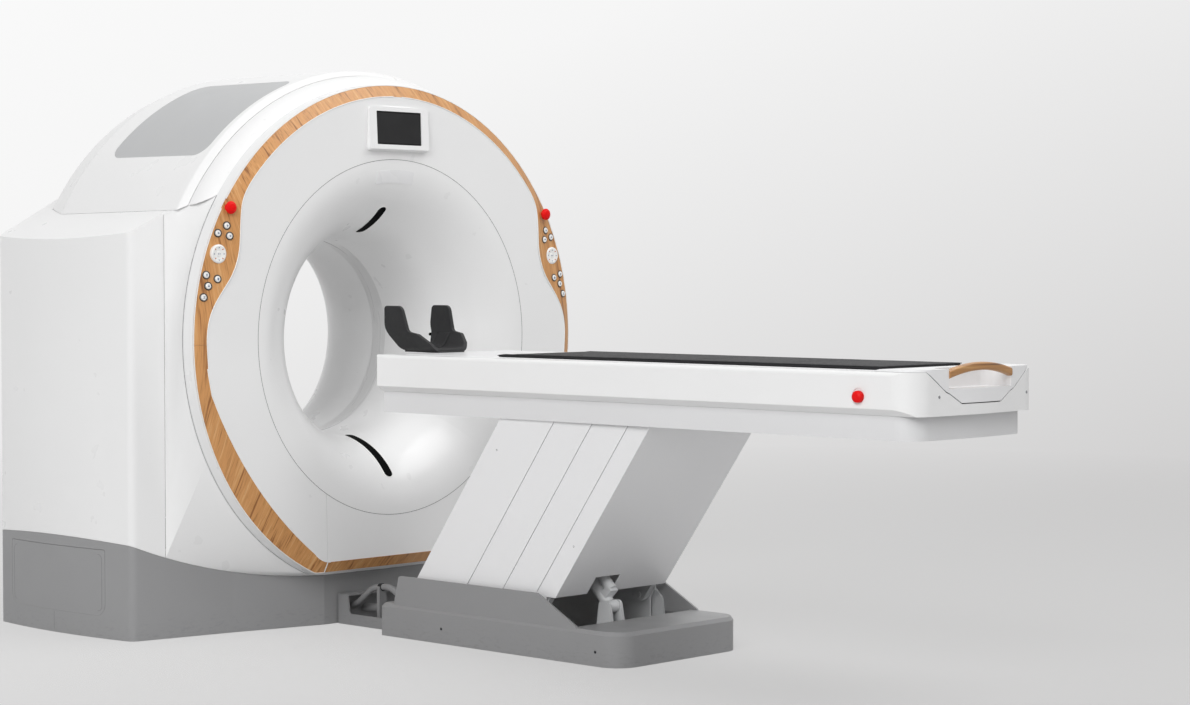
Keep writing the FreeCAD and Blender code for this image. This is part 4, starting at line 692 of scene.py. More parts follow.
def prism_faces(count: int, start: int = 0) -> list[list[int]]:
    """Faces of a prism whose front loop of points comes first and its back loop after it.

    Args:
        count: Points in a loop.
        start: Number of the first point.

    Returns:
        The faces.
    """
    front = list(range(start, start + count))
    sides = [[a, b, b + count, a + count] for a, b in zip(front, front[1:] + front[:1])]
    return [front, [a + count for a in reversed(front)], *sides]


def slab_faces(rows: int, columns: int) -> list[tuple[int, ...]]:
    """Faces of a slab between two layers of points, each a grid.

    Args:
        rows: Faces of one layer along the grid.
        columns: Faces of one layer across the grid.

    Returns:
        The faces: both layers and the four borders.
    """
    wide = columns + 1
    layer = wide * (rows + 1)
    faces: list[tuple[int, ...]] = []
    for row in range(rows):
        for column in range(columns):
            a = row * wide + column
            faces.append((a, a + 1, a + 1 + wide, a + wide))
            faces.append((a + layer, a + wide + layer, a + 1 + wide + layer, a + 1 + layer))
        for a in (row * wide, row * wide + columns):
            faces.append((a, a + wide, a + wide + layer, a + layer))
    for column in range(columns):
        for a in (column, rows * wide + column):
            faces.append((a, a + 1, a + 1 + layer, a + layer))
    return faces


def sharpen(obj: Piece, degrees: float = 35.0) -> Piece:
    """Marks edges sharper than an angle, so that flat faces stay flat.

    Args:
        obj: The piece.
        degrees: The smallest sharp angle.

    Returns:
        The same piece.
    """
    shell = bmesh.new()
    shell.from_mesh(obj.data)
    for edge in shell.edges:
        if len(edge.link_faces) == 2:
            edge.smooth = edge.calc_face_angle(0.0) < math.radians(degrees)
    shell.to_mesh(obj.data)
    shell.free()
    return obj


def lathe(name: str, outline: Sequence[Flat], steps: int) -> Piece:
    """Turns a (radius, height) outline round Z; its first and last points are on the axis.

    Args:
        name: The piece's name.
        outline: The profile from the bottom to the top.
        steps: Faces round it.

    Returns:
        The object.
    """
    points = [(x, y, height) for radius, height in outline for x, y in round_points(steps, radius)]
    faces: list[tuple[int, ...]] = []
    for row in range(len(outline) - 1):
        for step in range(steps):
            a, b = row * steps + step, row * steps + (step + 1) % steps
            faces.append((a, b, b + steps, a + steps))
    return sharpen(add_piece(name, points, faces))


class Skin:
    """Finds the outside of CAD nodes along straight lines."""

    def __init__(self, *nodes: str) -> None:
        """Reads the nodes' faces.

        Args:
            *nodes: The nodes to look at.
        """
        points: list[Vector] = []
        faces: list[list[int]] = []
        for node in nodes:
            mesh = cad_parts[node].data
            start = len(points)
            points += [v.co.copy() for v in mesh.vertices]
            faces += [[start + i for i in p.vertices] for p in mesh.polygons]
        self.tree = BVHTree.FromPolygons(points, faces)

    def hit(self, start: Spot, way: Spot | Vector) -> Vector:
        """First point met along a line.

        Args:
            start: Where the line starts, in millimetres.
            way: Its direction.

        Returns:
            The point met, in millimetres, or the start if it meets nothing.
        """
        found = self.tree.ray_cast(Vector(start) * MM, Vector(way).normalized())[0]
        return Vector(start) if found is None else found / MM

    def front(self, x: float, z: float) -> float:
        """Depth of the skin seen from the front at one spot."""
        return self.hit((x, -400.0, z), TO_BACK).y


def add_edges(name: str, node: str, keep: Callable[[bmesh.types.BMEdge], bool],
              shift: Callable[[Vector], Vector]) -> Piece:
    """Makes a seed from the sharp edges of a CAD node.

    Args:
        name: The piece's name.
        node: The node whose edges are read.
        keep: Says which sharp edges are used.
        shift: Moves each point, in millimetres.

    Returns:
        The seed object.
    """
    shell = bmesh.new()
    shell.from_mesh(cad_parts[node].data)
    bmesh.ops.remove_doubles(shell, verts=shell.verts, dist=1e-6)
    limit = math.radians(40.0)
    used = [edge for edge in shell.edges
            if len(edge.link_faces) == 2 and edge.calc_face_angle(0.0) > limit and keep(edge)]
    number: dict[int, int] = {}
    for edge in used:
        for vert in edge.verts:
            number.setdefault(vert.index, len(number))
    shell.verts.ensure_lookup_table()
    points = [shift(shell.verts[i].co / MM) * MM for i in number]
    mesh = bpy.data.meshes.new(name)
    mesh.from_pydata(points, [[number[vert.index] for vert in edge.verts] for edge in used], [])
    shell.free()
    return add_object(name, mesh)


def draped_outlines(name: str, outlines: Sequence[Sequence[Flat]], skin: Skin, proud: float) -> Piece:
    """Lays thin flat shapes on a front surface.

    Args:
        name: The piece's name.
        outlines: Closed (x, z) outlines.
        skin: The surface they lie on.
        proud: How far they stand out.

    Returns:
        The object.
    """
    points: list[Spot] = []
    faces: list[list[int]] = []
    for outline in outlines:
        faces += prism_faces(len(outline), len(points))
        depths = [skin.front(x, z) for x, z in outline]
        for lift in (-proud, 0.05):
            points += [(x, y + lift, z) for (x, z), y in zip(outline, depths)]
    return add_piece(name, points, faces, False)


def draped_ring(name: str, middle: Flat, hole: float, profile: Sequence[Flat], skin: Skin,
                steps: int = 40) -> Piece:
    """Lays a ring with a (radius, height) profile on a slanting front surface.

    Args:
        name: The piece's name.
        middle: Its (x, z) middle.
        hole: Radius of the hole that the skin has there.
        profile: Closed profile of the ring.
        skin: The surface it lies on.
        steps: Faces round it.

    Returns:
        The object.
    """
    rows = len(profile)
    rings: list[list[Spot]] = []
    for radius, height in profile:
        skin_spots = round_points(steps, max(radius, hole + 0.8), middle)
        rings.append([(x, skin.front(*near) - height, z)
                      for near, (x, z) in zip(skin_spots, round_points(steps, radius, middle))])
    points = [ring[step] for step in range(steps) for ring in rings]
    faces: list[tuple[int, ...]] = []
    for step in range(steps):
        for row in range(rows):
            a, b = step * rows + row, step * rows + (row + 1) % rows
            shift = rows * ((step + 1) % steps - step)
            faces.append((a, b, b + shift, a + shift))
    return add_piece(name, points, faces)


def joined(name: str, pieces: Sequence[Piece]) -> Piece:
    """Puts several meshes into one object.

    Args:
        name: The new piece's name.
        pieces: The objects, which are used up.

    Returns:
        The new object.
    """
    shell = bmesh.new()
    for piece in pieces:
        shell.from_mesh(piece.data)
        bpy.data.objects.remove(piece)
    mesh = bpy.data.meshes.new(name)
    shell.to_mesh(mesh)
    shell.free()
    return add_object(name, mesh)


# Trees that grow repeated parts

class Growth(Graph):
    """A Geometry Nodes tree with named inputs, made to be used once and taken away."""

    def __init__(self, name: str, **inputs: float | int | Piece) -> None:
        """Starts the tree with its inputs.

        Args:
            name: The tree's name.
            **inputs: Starting value of each named input.
        """
        super().__init__(bpy.data.node_groups.new(name, "GeometryNodeTree"))
        self.tree.is_modifier = True
        face = self.tree.interface
        for way in ("INPUT", "OUTPUT"):
            face.new_socket("Geometry", in_out=way, socket_type="NodeSocketGeometry")
        kinds = {float: "NodeSocketFloat", int: "NodeSocketInt"}
        self.values: dict[str, object] = {}
        for label, value in inputs.items():
            kind = kinds.get(type(value), "NodeSocketObject")
            socket = face.new_socket(label, in_out="INPUT", socket_type=kind)
            self.values[socket.identifier] = value
        self.entry = self.add("NodeGroupInput").outputs

    def curve(self) -> Socket:
        """The seed's chain as a curve."""
        return self.add("GeometryNodeMeshToCurve", {"Mesh": self.entry["Geometry"]}).outputs[0]

    def stops(self) -> Node:
        """Points along the seed's chain, one pitch apart."""
        return self.add("GeometryNodeCurveToPoints", {"Curve": self.curve(), "Length": self.entry["Pitch"]},
                        mode="LENGTH")

    def circle(self, sides: Socket | int, radius: Socket) -> Socket:
        """A round curve."""
        made = self.add("GeometryNodeCurvePrimitiveCircle", {"Resolution": sides, "Radius": radius})
        return made.outputs[0]

    def tube(self, path: Socket, profile: Socket, caps: bool = False) -> Socket:
        """Draws a profile along a path."""
        return self.add("GeometryNodeCurveToMesh", {"Curve": path, "Profile Curve": profile,
                                                    "Fill Caps": caps}).outputs[0]

    def turn_about(self, axis: Spot, angle: Socket) -> Socket:
        """A rotation about an axis."""
        return self.add("FunctionNodeAxisAngleToRotation", {"Axis": axis, "Angle": angle}).outputs[0]

    def copies(self, points: Socket, part: Socket, rotation: Socket, **more: Socket) -> Socket:
        """Sets a copy of a part on each point."""
        return self.add("GeometryNodeInstanceOnPoints", {"Points": points, "Instance": part,
                                                         "Rotation": rotation, **more}).outputs[0]

    def smooth(self, geometry: Socket) -> Socket:
        """Shades a mesh smooth."""
        return self.add("GeometryNodeSetShadeSmooth", {"Geometry": geometry}).outputs[0]

    def grow(self, seed: Piece, last: Socket) -> Piece:
        """Ends the tree, runs it on a seed and keeps the plain mesh.

        Args:
            seed: The mesh object it starts from.
            last: Where the parts come out.

        Returns:
            The seed object, now with the grown mesh and no modifier.
        """
        real = self.add("GeometryNodeRealizeInstances", {"Geometry": last})
        self.add("NodeGroupOutput", {0: real.outputs[0]})
        modifier = seed.modifiers.new(self.tree.name, "NODES")
        modifier.node_group = self.tree
        for identifier, value in self.values.items():
            modifier[identifier] = value
        bpy.context.view_layer.update()
        graph = bpy.context.evaluated_depsgraph_get()
        mesh = bpy.data.meshes.new_from_object(seed.evaluated_get(graph))
        mesh.name = seed.name
        seed.modifiers.clear()
        seed.data = mesh
        bpy.data.node_groups.remove(self.tree)
        return seed


def grow_studs(name: str, template: Piece, spots: Sequence[tuple[Spot, Spot]], seed: int = 7) -> Piece:
    """Sets a copy of a stud on each spot, its top facing outwards, turned at random about its axis.

    Args:
        name: The piece's name.
        template: The stud, standing on Z = 0.
        spots: Place and outward direction of each.
        seed: Fixed start of the random turns.

    Returns:
        The piece with all studs.
    """
    base = add_chain(name, [spot for spot, _ in spots])
    aim = base.data.attributes.new("aim", "FLOAT_VECTOR", "POINT")
    for place, (_, way) in enumerate(spots):
        aim.data[place].vector = way
    growth = Growth(f"{name}_tree", Stud=template, Seed=seed)
    entry = growth.entry
    points = growth.add("GeometryNodeMeshToPoints", {"Mesh": entry["Geometry"]})
    stud = growth.add("GeometryNodeObjectInfo", {"Object": entry["Stud"]})
    way_in = growth.add("GeometryNodeInputNamedAttribute", {"Name": "aim"}, data_type="FLOAT_VECTOR")
    facing = growth.add("FunctionNodeAlignRotationToVector", {"Vector": way_in.outputs["Attribute"]},
                        axis="Z")
    spin = growth.add("FunctionNodeRandomValue", {"Seed": entry["Seed"], 3: math.tau}, data_type="FLOAT")
    turned = growth.add("FunctionNodeRotateRotation",
                        {"Rotation": facing.outputs[0], "Rotate By": growth.turn_about(UP, spin.outputs[1])},
                        rotation_space="LOCAL")
    return growth.grow(base, growth.copies(points.outputs[0], stud.outputs["Geometry"], turned.outputs[0]))


def grow_pipe(seed: Piece, radius: float, sides: int = 8) -> Piece:
    """Runs a round bead along a chain.

    Args:
        seed: The chain.
        radius: The bead's radius.
        sides: Faces round it.

    Returns:
        The piece.
    """
    growth = Growth(f"{seed.name}_tree", Radius=radius * MM, Sides=sides)
    ring = growth.circle(growth.entry["Sides"], growth.entry["Radius"])
    return growth.grow(seed, growth.smooth(growth.tube(growth.curve(), ring, caps=True)))


def grow_stitches(seed: Piece, pitch: float, long: float, thick: float) -> Piece:
    """Lays short stitches along a chain.

    Args:
        seed: The chain.
        pitch: Distance from stitch to stitch.
        long: Half length of a stitch.
        thick: Half thickness of a stitch.

    Returns:
        The piece.
    """
    growth = Growth(f"{seed.name}_tree", Pitch=pitch * MM, Long=long * MM, Thick=thick * MM)
    entry = growth.entry
    size = growth.add("ShaderNodeCombineXYZ", {"X": entry["Thick"], "Y": entry["Thick"], "Z": entry["Long"]})
    ball = growth.add("GeometryNodeMeshUVSphere", {"Segments": 6, "Rings": 5, "Radius": 1.0})
    stops = growth.stops().outputs
    return growth.grow(seed, growth.copies(stops["Points"], ball.outputs["Mesh"], stops["Rotation"],
                                           Scale=size.outputs[0]))


def grow_rings(seed: Piece, pitch: float, radius: float, thick: float) -> Piece:
    """Threads ribs round a hose at even steps.

    Args:
        seed: The hose's chain.
        pitch: Distance from rib to rib.
        radius: Radius of a rib's middle line.
        thick: Half thickness of a rib.

    Returns:
        The piece.
    """
    growth = Growth(f"{seed.name}_tree", Pitch=pitch * MM, Radius=radius * MM, Thick=thick * MM)
    rib = growth.tube(growth.circle(20, growth.entry["Radius"]), growth.circle(8, growth.entry["Thick"]))
    stops = growth.stops().outputs
    return growth.grow(seed, growth.smooth(growth.copies(stops["Points"], rib, stops["Rotation"])))


def grow_slats(name: str, count: int, pitch: float, size: Spot, tilt: float) -> Piece:
    """Stacks slats up Z from the origin.

    Args:
        name: The piece's name.
        count: Number of slats.
        pitch: Distance from slat to slat.
        size: Size of one slat.
        tilt: Turn about X in degrees.

    Returns:
        The piece.
    """
    growth = Growth(f"{name}_tree", Count=count, Pitch=pitch * MM, Width=size[0] * MM, Depth=size[1] * MM,
                    Height=size[2] * MM, Tilt=math.radians(tilt))
    entry = growth.entry
    step = growth.add("ShaderNodeCombineXYZ", {"X": 0.0, "Y": 0.0, "Z": entry["Pitch"]})
    line = growth.add("GeometryNodeMeshLine", {"Count": entry["Count"], "Offset": step.outputs[0]})
    box = growth.add("ShaderNodeCombineXYZ", {"X": entry["Width"], "Y": entry["Depth"], "Z": entry["Height"]})
    slat = growth.add("GeometryNodeMeshCube", {"Size": box.outputs[0]})
    turn = growth.turn_about((1.0, 0.0, 0.0), entry["Tilt"])
    return growth.grow(add_chain(name, [(0.0, 0.0, 0.0)]),
                       growth.copies(line.outputs[0], slat.outputs["Mesh"], turn))


# Sub-assemblies

@dataclass(frozen=True)
class Strip:
    """A strip with rounded corners that follows the funnel's flare.

    Its angle is in degrees about the bore, start and end are depths behind the front plane, and top and foot
    are depths in the wall.
    """

    name: str
    angle: float
    start: float
    end: float
    half: float
    corner: float
    top: float = -1.7
    foot: float = -0.04


@dataclass
class Funnel:
    """Fine parts of the front funnel: positioning-light windows and the bare indicator plate."""

    mouth_r: float = 619.0
    bore_r: float = 350.0
    depth: float = 330.0
    rim_depth: float = -1.1
    rim_r: float = 1.3
    windows: tuple[Strip, ...] = (Strip("light_window_top", 90.0, 66.0, 206.0, 19.0, 19.0),
                                  Strip("light_window_low", 270.0, 39.0, 268.0, 19.0, 19.0),
                                  Strip("light_window_left", 180.0, 183.0, 227.0, 6.6, 6.6),
                                  Strip("light_window_right", 0.0, 183.0, 227.0, 6.6, 6.6))
    plate: Strip = Strip("indicator_plate", 90.0, 2.9, 15.2, 86.0, 5.0, -1.2, -0.02)

    def radius(self, turn: float) -> float:
        """Radius of the flare at a place along it."""
        return self.mouth_r - (self.mouth_r - self.bore_r) * math.sin(turn)

    def on_wall(self, turn: float, angle: float, depth: float) -> Vector:
        """Point on the flare.

        Args:
            turn: Place along the flare, 0 at the mouth and a right angle at the throat.
            angle: Angle about the bore, counted up from +X.
            depth: How deep in the wall.

        Returns:
            The point.
        """
        fall = self.mouth_r - self.bore_r
        normal = Vector((self.depth * math.sin(turn), fall * math.cos(turn))).normalized()
        radius = self.radius(turn) + normal.x * depth
        y = self.depth * (1.0 - math.cos(turn)) + normal.y * depth
        return Vector((radius * math.cos(angle), y, BORE_Z + radius * math.sin(angle)))

    def span(self, strip: Strip, steps: int = 40) -> tuple[float, float, float]:
        """Places along the flare where a strip starts and ends, and its length.

        Args:
            strip: The strip.
            steps: Parts it is measured in.

        Returns:
            The start, the end and the length.
        """
        start, end = (math.acos(1.0 - y / self.depth) for y in (strip.start, strip.end))
        line = [self.on_wall(start + (end - start) * i / steps, 0.0, 0.0) for i in range(steps + 1)]
        return start, end, sum((b - a).length for a, b in zip(line, line[1:]))

    def slab(self, strip: Strip, rows: int = 40, columns: int = 8) -> Piece:
        """Makes a strip's body.

        Args:
            strip: The strip.
            rows: Faces along it.
            columns: Faces across it.

        Returns:
            The object.
        """
        start, end, length = self.span(strip)
        middle = math.radians(strip.angle)
        points: list[Vector] = []
        for depth in (strip.top, strip.foot):
            for row in range(rows + 1):
                share = 0.5 - 0.5 * math.cos(math.pi * row / rows)
                turn = start + (end - start) * share
                edge = max(0.05, min(share, 1.0 - share) * length)
                short = max(0.0, strip.corner - edge)
                width = strip.half - strip.corner + math.sqrt(max(0.0, strip.corner ** 2 - short ** 2))
                for column in range(columns + 1):
                    across = width * (2.0 * column / columns - 1.0)
                    points.append(self.on_wall(turn, middle + across / self.radius(turn), depth))
        return sharpen(add_piece(strip.name, points, slab_faces(rows, columns)), 50.0)

    def rim(self, strip: Strip) -> Piece:
        """Line round a strip with half-round ends, for its raised rim.

        Args:
            strip: The strip.

        Returns:
            The closed chain.
        """
        start, end, length = self.span(strip)
        half = strip.half
        side = [(half + (length - 2.0 * half) * i / 30.0, half) for i in range(31)]
        side += [(length - half + half * math.sin(a), half * math.cos(a))
                 for a in (math.pi * i / 12.0 for i in range(1, 12))]
        points = []
        for run, across in side + [(length - u, -v) for u, v in side]:
            turn = start + (end - start) * run / length
            angle = math.radians(strip.angle) + across / self.radius(turn)
            points.append(self.on_wall(turn, angle, self.rim_depth))
        return add_chain(f"{strip.name}_rim", points, True)

    def build(self, wardrobe: Wardrobe) -> None:
        """Adds the light windows and the plate.

        Args:
            wardrobe: Where the finishes come from.
        """
        for strip in self.windows:
            wardrobe.dress(self.slab(strip), "housing", "slot_black")
            wardrobe.dress(grow_pipe(self.rim(strip), self.rim_r), "housing", "key_white")
        wardrobe.dress(self.slab(self.plate), "housing", "lens_clear")


@dataclass
class Controls:
    """Collars and plain pictures of the keys and dials on both sides of the wooden ring.

    Places are those of the left side; the right side is their mirror.
    """

    keys: tuple[Flat, ...] = ((-746.0, 1371.0), (-779.0, 1346.0), (-737.0, 1337.0), (-828.0, 1209.0),
                              (-788.0, 1196.0), (-823.0, 1173.0), (-841.0, 1136.0))
    signs: tuple[Sign, ...] = (Sign.LAMP, Sign.OUT, Sign.IN, Sign.UP, Sign.HOME, Sign.DOWN, Sign.FREE)
    sign_scale: float = 1.05
    hole_r: float = 10.3
    collar: Outline = ((10.7, -0.05), (10.7, 1.6), (11.6, 2.6), (12.8, 2.6), (14.0, 1.4), (14.0, -0.05))
    dial: Flat = (-780.0, 1278.0)
    proud: float = 0.35
    arrow: Outline = ((18.0, -3.4), (22.8, 0.0), (18.0, 3.4), (19.2, 0.0))
    bar: Outline = ((18.6, -1.5), (23.6, -1.9), (23.6, 1.9), (18.6, 1.5))
    wedges: tuple[Outline, ...] = (((-6.0, 0.0), (-2.0, -3.0), (-2.0, 3.0)),
                                   ((6.0, 0.0), (2.0, 3.0), (2.0, -3.0)))

    def collars(self, side: Side, wardrobe: Wardrobe) -> None:
        """Adds a dark ring round each key.

        Args:
            side: The side.
            wardrobe: Where the finishes come from.
        """
        wood = Skin("wood_trim")
        rings = [draped_ring(f"ring_{i}", (-side.value * x, z), self.hole_r, self.collar, wood)
                 for i, (x, z) in enumerate(self.keys)]
        wardrobe.dress(joined(f"key_collars_{side.name.lower()}", rings), "housing", "collar")

    def pictures(self, side: Side, wardrobe: Wardrobe) -> None:
        """Adds the sign on every key.

        Args:
            side: The side.
            wardrobe: Where the finishes come from.
        """
        for number, ((x, z), sign) in enumerate(zip(self.keys, self.signs), start=1):
            place = f"{side.name.lower()}_{number}"
            outlines = [laid(outline, -side.value * x, z, self.sign_scale) for outline in sign.value]
            piece = draped_outlines(f"sign_{place}", outlines, Skin(f"key_{place}"), self.proud)
            wardrobe.dress(piece, f"key_{place}", "sign_blue")

    def dial_marks(self, side: Side, wardrobe: Wardrobe) -> None:
        """Adds arrows and bars round the dial.

        Args:
            side: The side.
            wardrobe: Where the finishes come from.
        """
        node = f"dial_{side.name.lower()}"
        skin = Skin(node)
        x, z = -side.value * self.dial[0], self.dial[1]
        for finish, shape, first, more in (("sign_blue", self.arrow, 0.0, self.wedges),
                                           ("sign_orange", self.bar, 45.0, ())):
            outlines = [laid(shape, x, z, degrees=first + 90.0 * step) for step in range(4)]
            outlines += [laid(wedge, x, z) for wedge in more]
            wardrobe.dress(draped_outlines(f"{finish}_{node}", outlines, skin, self.proud), node, finish)

    def build(self, wardrobe: Wardrobe) -> None:
        """Adds all of them, kind by kind.

        Args:
            wardrobe: Where the finishes come from.
        """
        for add in (self.collars, self.pictures, self.dial_marks):
            for side in Side:
                add(side, wardrobe)


@dataclass
class RingTrim:
    """White beads along both edges of the wooden ring, a grey bead that paints the shade of the groove behind
    the front cover, and a dark bead that paints the shade of the funnel's seam.

    Holes are (x, z, radius) places of the left side where the ring's edges carry no bead.
    """

    bead_r: float = 1.7
    groove_bead_r: float = 2.4
    groove_bead_y: float = 64.6
    groove_bead_depth: float = 0.4
    groove_y: float = 63.0
    rim_r: float = 866.0
    foot_z: float = 196.0
    joint_z: float = 981.0
    joint_half: float = 1.2
    seam_r: float = 0.85
    seam_y: float = 0.2
    funnel_r: float = 619.5
    holes: tuple[Spot, ...] = (*((x, z, 12.5) for x, z in Controls.keys), (-780.0, 1278.0, 35.0),
                               (-737.0, 1430.0, 24.0))

    def on_bead(self, edge: bmesh.types.BMEdge) -> bool:
        """Whether an edge of the ring carries a bead.

        Args:
            edge: An edge between two faces.

        Returns:
            True if it does.
        """
        middle = (edge.verts[0].co + edge.verts[1].co) / (2.0 * MM)
        in_front = any(face.normal.y < -0.6 for face in edge.link_faces)
        on_hole = any(math.hypot(abs(middle.x) + x, middle.z - z) < r for x, z, r in self.holes)
        on_joint = min(abs(middle.z - self.joint_z), abs(middle.x)) <= self.joint_half
        return in_front and not on_hole and not on_joint

    def on_groove(self, edge: bmesh.types.BMEdge) -> bool:
        """Whether an edge of the front cover borders the groove behind it.

        Args:
            edge: An edge between two faces.

        Returns:
            True if it does.
        """
        middle = (edge.verts[0].co + edge.verts[1].co) / (2.0 * MM)
        far = math.hypot(middle.x, middle.z - BORE_Z)
        return abs(middle.y - self.groove_y) < 0.5 and (far > self.rim_r or middle.z < self.foot_z)

    def into_groove(self, point: Vector) -> Vector:
        """Moves a point of the cover's edge into the groove.

        Args:
            point: A point on the edge.

        Returns:
            The new point.
        """
        way = Vector((point.x, 0.0, point.z - BORE_Z))
        inner = way * (1.0 - self.groove_bead_depth / way.length)
        return Vector((inner.x, self.groove_bead_y, inner.z + BORE_Z))

    def build(self, wardrobe: Wardrobe) -> None:
        """Adds the beads, the grey groove bead that paints the groove's shade, and the dark seam bead that
        paints the seam's shade.

        Args:
            wardrobe: Where the finishes come from.
        """
        beads = add_edges("ring_beads", "wood_trim", self.on_bead, Vector)
        wardrobe.dress(grow_pipe(beads, self.bead_r), "housing", "key_white")
        # pale grey bead in the groove behind the front cover; its grey paints the groove's soft shade
        groove_chain = add_edges("cover_seal", "front_cover", self.on_groove, self.into_groove)
        wardrobe.dress(grow_pipe(groove_chain, self.groove_bead_r), "housing", "seal_grey")
        # dark bead on the funnel's seam: painted shade of the seam's gap
        circle = [(x, self.seam_y, z) for x, z in round_points(240, self.funnel_r, (0.0, BORE_Z))]
        seam = add_chain("funnel_seam", circle, True)
        wardrobe.dress(grow_pipe(seam, self.seam_r, 6), "housing", "seam_dark")


@dataclass
class Mattress:
    """Thin cushion of the cradle, sewn across, inflated by a short cloth run."""

    half: float = 199.0
    head_y: float = -706.0
    foot_y: float = -2249.0
    floor_z: float = 943.35
    top_z: float = 952.0
    ramp: float = 36.0
    head_rise: float = 5.0
    channels: tuple[float, ...] = (-768.0, -1140.0, -1512.0, -1884.0)
    cell: float = 12.0
    columns: int = 32
    bulge: float = 0.8
    swell: float = 3.4
    pull: float = 2.2
    frames: int = 18
    creep: float = 0.3
    piping_r: float = 1.3
    lift: float = 0.2

    def top(self, y: float) -> float:
        """Height of the sewn edge at one depth.

        Args:
            y: The depth.

        Returns:
            The height.
        """
        share = max(0.0, min(1.0, (self.head_y - y) / self.ramp))
        rise = self.top_z - self.floor_z
        return self.floor_z + self.head_rise + (rise - self.head_rise) * share

    def width(self, y: float) -> float:
        """Half width at one depth, a little less between the corners."""
        share = (self.head_y - y) / (self.head_y - self.foot_y)
        return self.half - self.pull * math.sin(math.pi * share)

    def stations(self) -> list[float]:
        """Depths of the rows, with one on every seam.

        Returns:
            The depths.
        """
        stops = [self.head_y, *self.channels, self.foot_y]
        rows: list[float] = []
        for a, b in zip(stops, stops[1:]):
            steps = max(2, round(abs(b - a) / self.cell))
            rows += [a + (b - a) * i / steps for i in range(steps)]
        return rows + [self.foot_y]

    def shell(self) -> tuple[Piece, list[int]]:
        """Makes the flat cushion before it swells.

        Returns:
            The object and the numbers of the points that may move.
        """
        rows, columns = self.stations(), self.columns
        last = len(rows) - 1
        points: list[Spot] = []
        free: list[int] = []
        at: dict[tuple[int, int, int], int] = {}
        for layer in range(3):
            for row, y in enumerate(rows):
                heights = (self.floor_z, (self.floor_z + self.top(y)) / 2.0, self.top(y))
                wide = self.width(y) + (self.bulge if layer == 1 else 0.0)
                for column in range(columns + 1):
                    border = column in (0, columns) or row in (0, last)
                    if layer == 1 and not border:
                        continue
                    if layer == 2 and not border and y not in self.channels:
                        free.append(len(points))
                    at[layer, row, column] = len(points)
                    points.append(((2.0 * column / columns - 1.0) * wide, y, heights[layer]))

        def face(layer: int, row: int, column: int, *steps: tuple[int, int, int]) -> list[int]:
            """Numbers of a face's corners, by their steps from the first."""
            return [at[layer, row, column], *(at[layer + i, row + j, column + k] for i, j, k in steps)]

        faces: list[list[int]] = []
        for row in range(last):
            for column in range(columns):
                faces.append(face(0, row, column, (0, 1, 0), (0, 1, 1), (0, 0, 1)))
                faces.append(face(2, row, column, (0, 0, 1), (0, 1, 1), (0, 1, 0)))
            faces += [face(layer, row, column, (0, 1, 0), (1, 1, 0), (1, 0, 0))
                      for layer in (0, 1) for column in (0, columns)]
        faces += [face(layer, row, column, (0, 0, 1), (1, 0, 1), (1, 0, 0))
                  for layer in (0, 1) for column in range(columns) for row in (0, last)]
        return add_piece("cradle_cushion", points, faces, False), free

    def swollen(self, obj: Piece, free: list[int]) -> None:
        """Lets the top swell between its seams.

        Args:
            obj: The cushion.
            free: Points that may move.
        """
        rest = [v.co.copy() for v in obj.data.vertices]
        held = obj.vertex_groups.new(name="sewn")
        loose = set(free)
        held.add([i for i in range(len(rest)) if i not in loose], 1.0, "REPLACE")
        cloth = obj.modifiers.new("swell", "CLOTH")
        settings = cloth.settings
        settings.quality = 6
        settings.mass = 0.25
        settings.tension_stiffness = 12.0
        settings.compression_stiffness = 12.0
        settings.shear_stiffness = 6.0
        settings.bending_stiffness = 0.4
        settings.vertex_group_mass = "sewn"
        settings.use_pressure = True
        settings.uniform_pressure_force = 4.0
        settings.effector_weights.gravity = 0.0
        cloth.collision_settings.use_collision = False
        scene = bpy.context.scene
        for step in range(self.frames):
            scene.frame_set(step + 1)
        graph = bpy.context.evaluated_depsgraph_get()
        moved_to = [v.co.copy() for v in obj.evaluated_get(graph).data.vertices]
        obj.modifiers.clear()
        scene.frame_set(1)
        limit = self.swell * MM
        for vertex, start, end in zip(obj.data.vertices, rest, moved_to):
            shift = end - start
            if shift.length > limit:
                shift *= limit / shift.length
            vertex.co = start + Vector((shift.x * self.creep, shift.y * self.creep, max(0.0, shift.z)))

    def cushion(self) -> Piece:
        """Makes the swollen, smoothed cushion.

        Returns:
            The cushion.
        """
        obj, free = self.shell()
        self.swollen(obj, free)
        finer = obj.modifiers.new("finer", "SUBSURF")
        finer.levels = finer.render_levels = 1
        graph = bpy.context.evaluated_depsgraph_get()
        mesh = bpy.data.meshes.new_from_object(obj.evaluated_get(graph))
        mesh.polygons.foreach_set("use_smooth", [True] * len(mesh.polygons))
        obj.modifiers.clear()
        obj.data = mesh
        return obj

    def piping(self) -> Piece:
        """Makes the bead round the top's edge.

        Returns:
            The bead.
        """
        rows = self.stations()
        shares = (-0.98, -0.5, 0.0, 0.5, 0.98)

        def end(y: float, out: float, order: Sequence[float]) -> list[Spot]:
            """The run across one end."""
            return [(u * self.width(y), y + out, self.top(y) + self.lift) for u in order]

        left = [(-self.width(y) - self.lift, y, self.top(y) + self.lift) for y in rows]
        right = [(-x, y, z) for x, y, z in reversed(left)]
        edge = left + end(self.foot_y, -self.lift, shares) + right + end(self.head_y, self.lift, shares[::-1])
        return grow_pipe(add_chain("cushion_piping", edge, True), self.piping_r)

    def stitches(self) -> Piece:
        """Makes the sewn lines across the top.

        Returns:
            The stitches.
        """
        lines = []
        for number, y in enumerate(self.channels):
            run = [(u * (self.width(y) - 3.0), y, self.top(y) + 0.5) for u in (-1.0, -0.5, 0.0, 0.5, 1.0)]
            lines.append(grow_stitches(add_chain(f"seam_{number}", run), pitch=6.0, long=2.1, thick=0.45))
        return joined("cushion_stitches", lines)

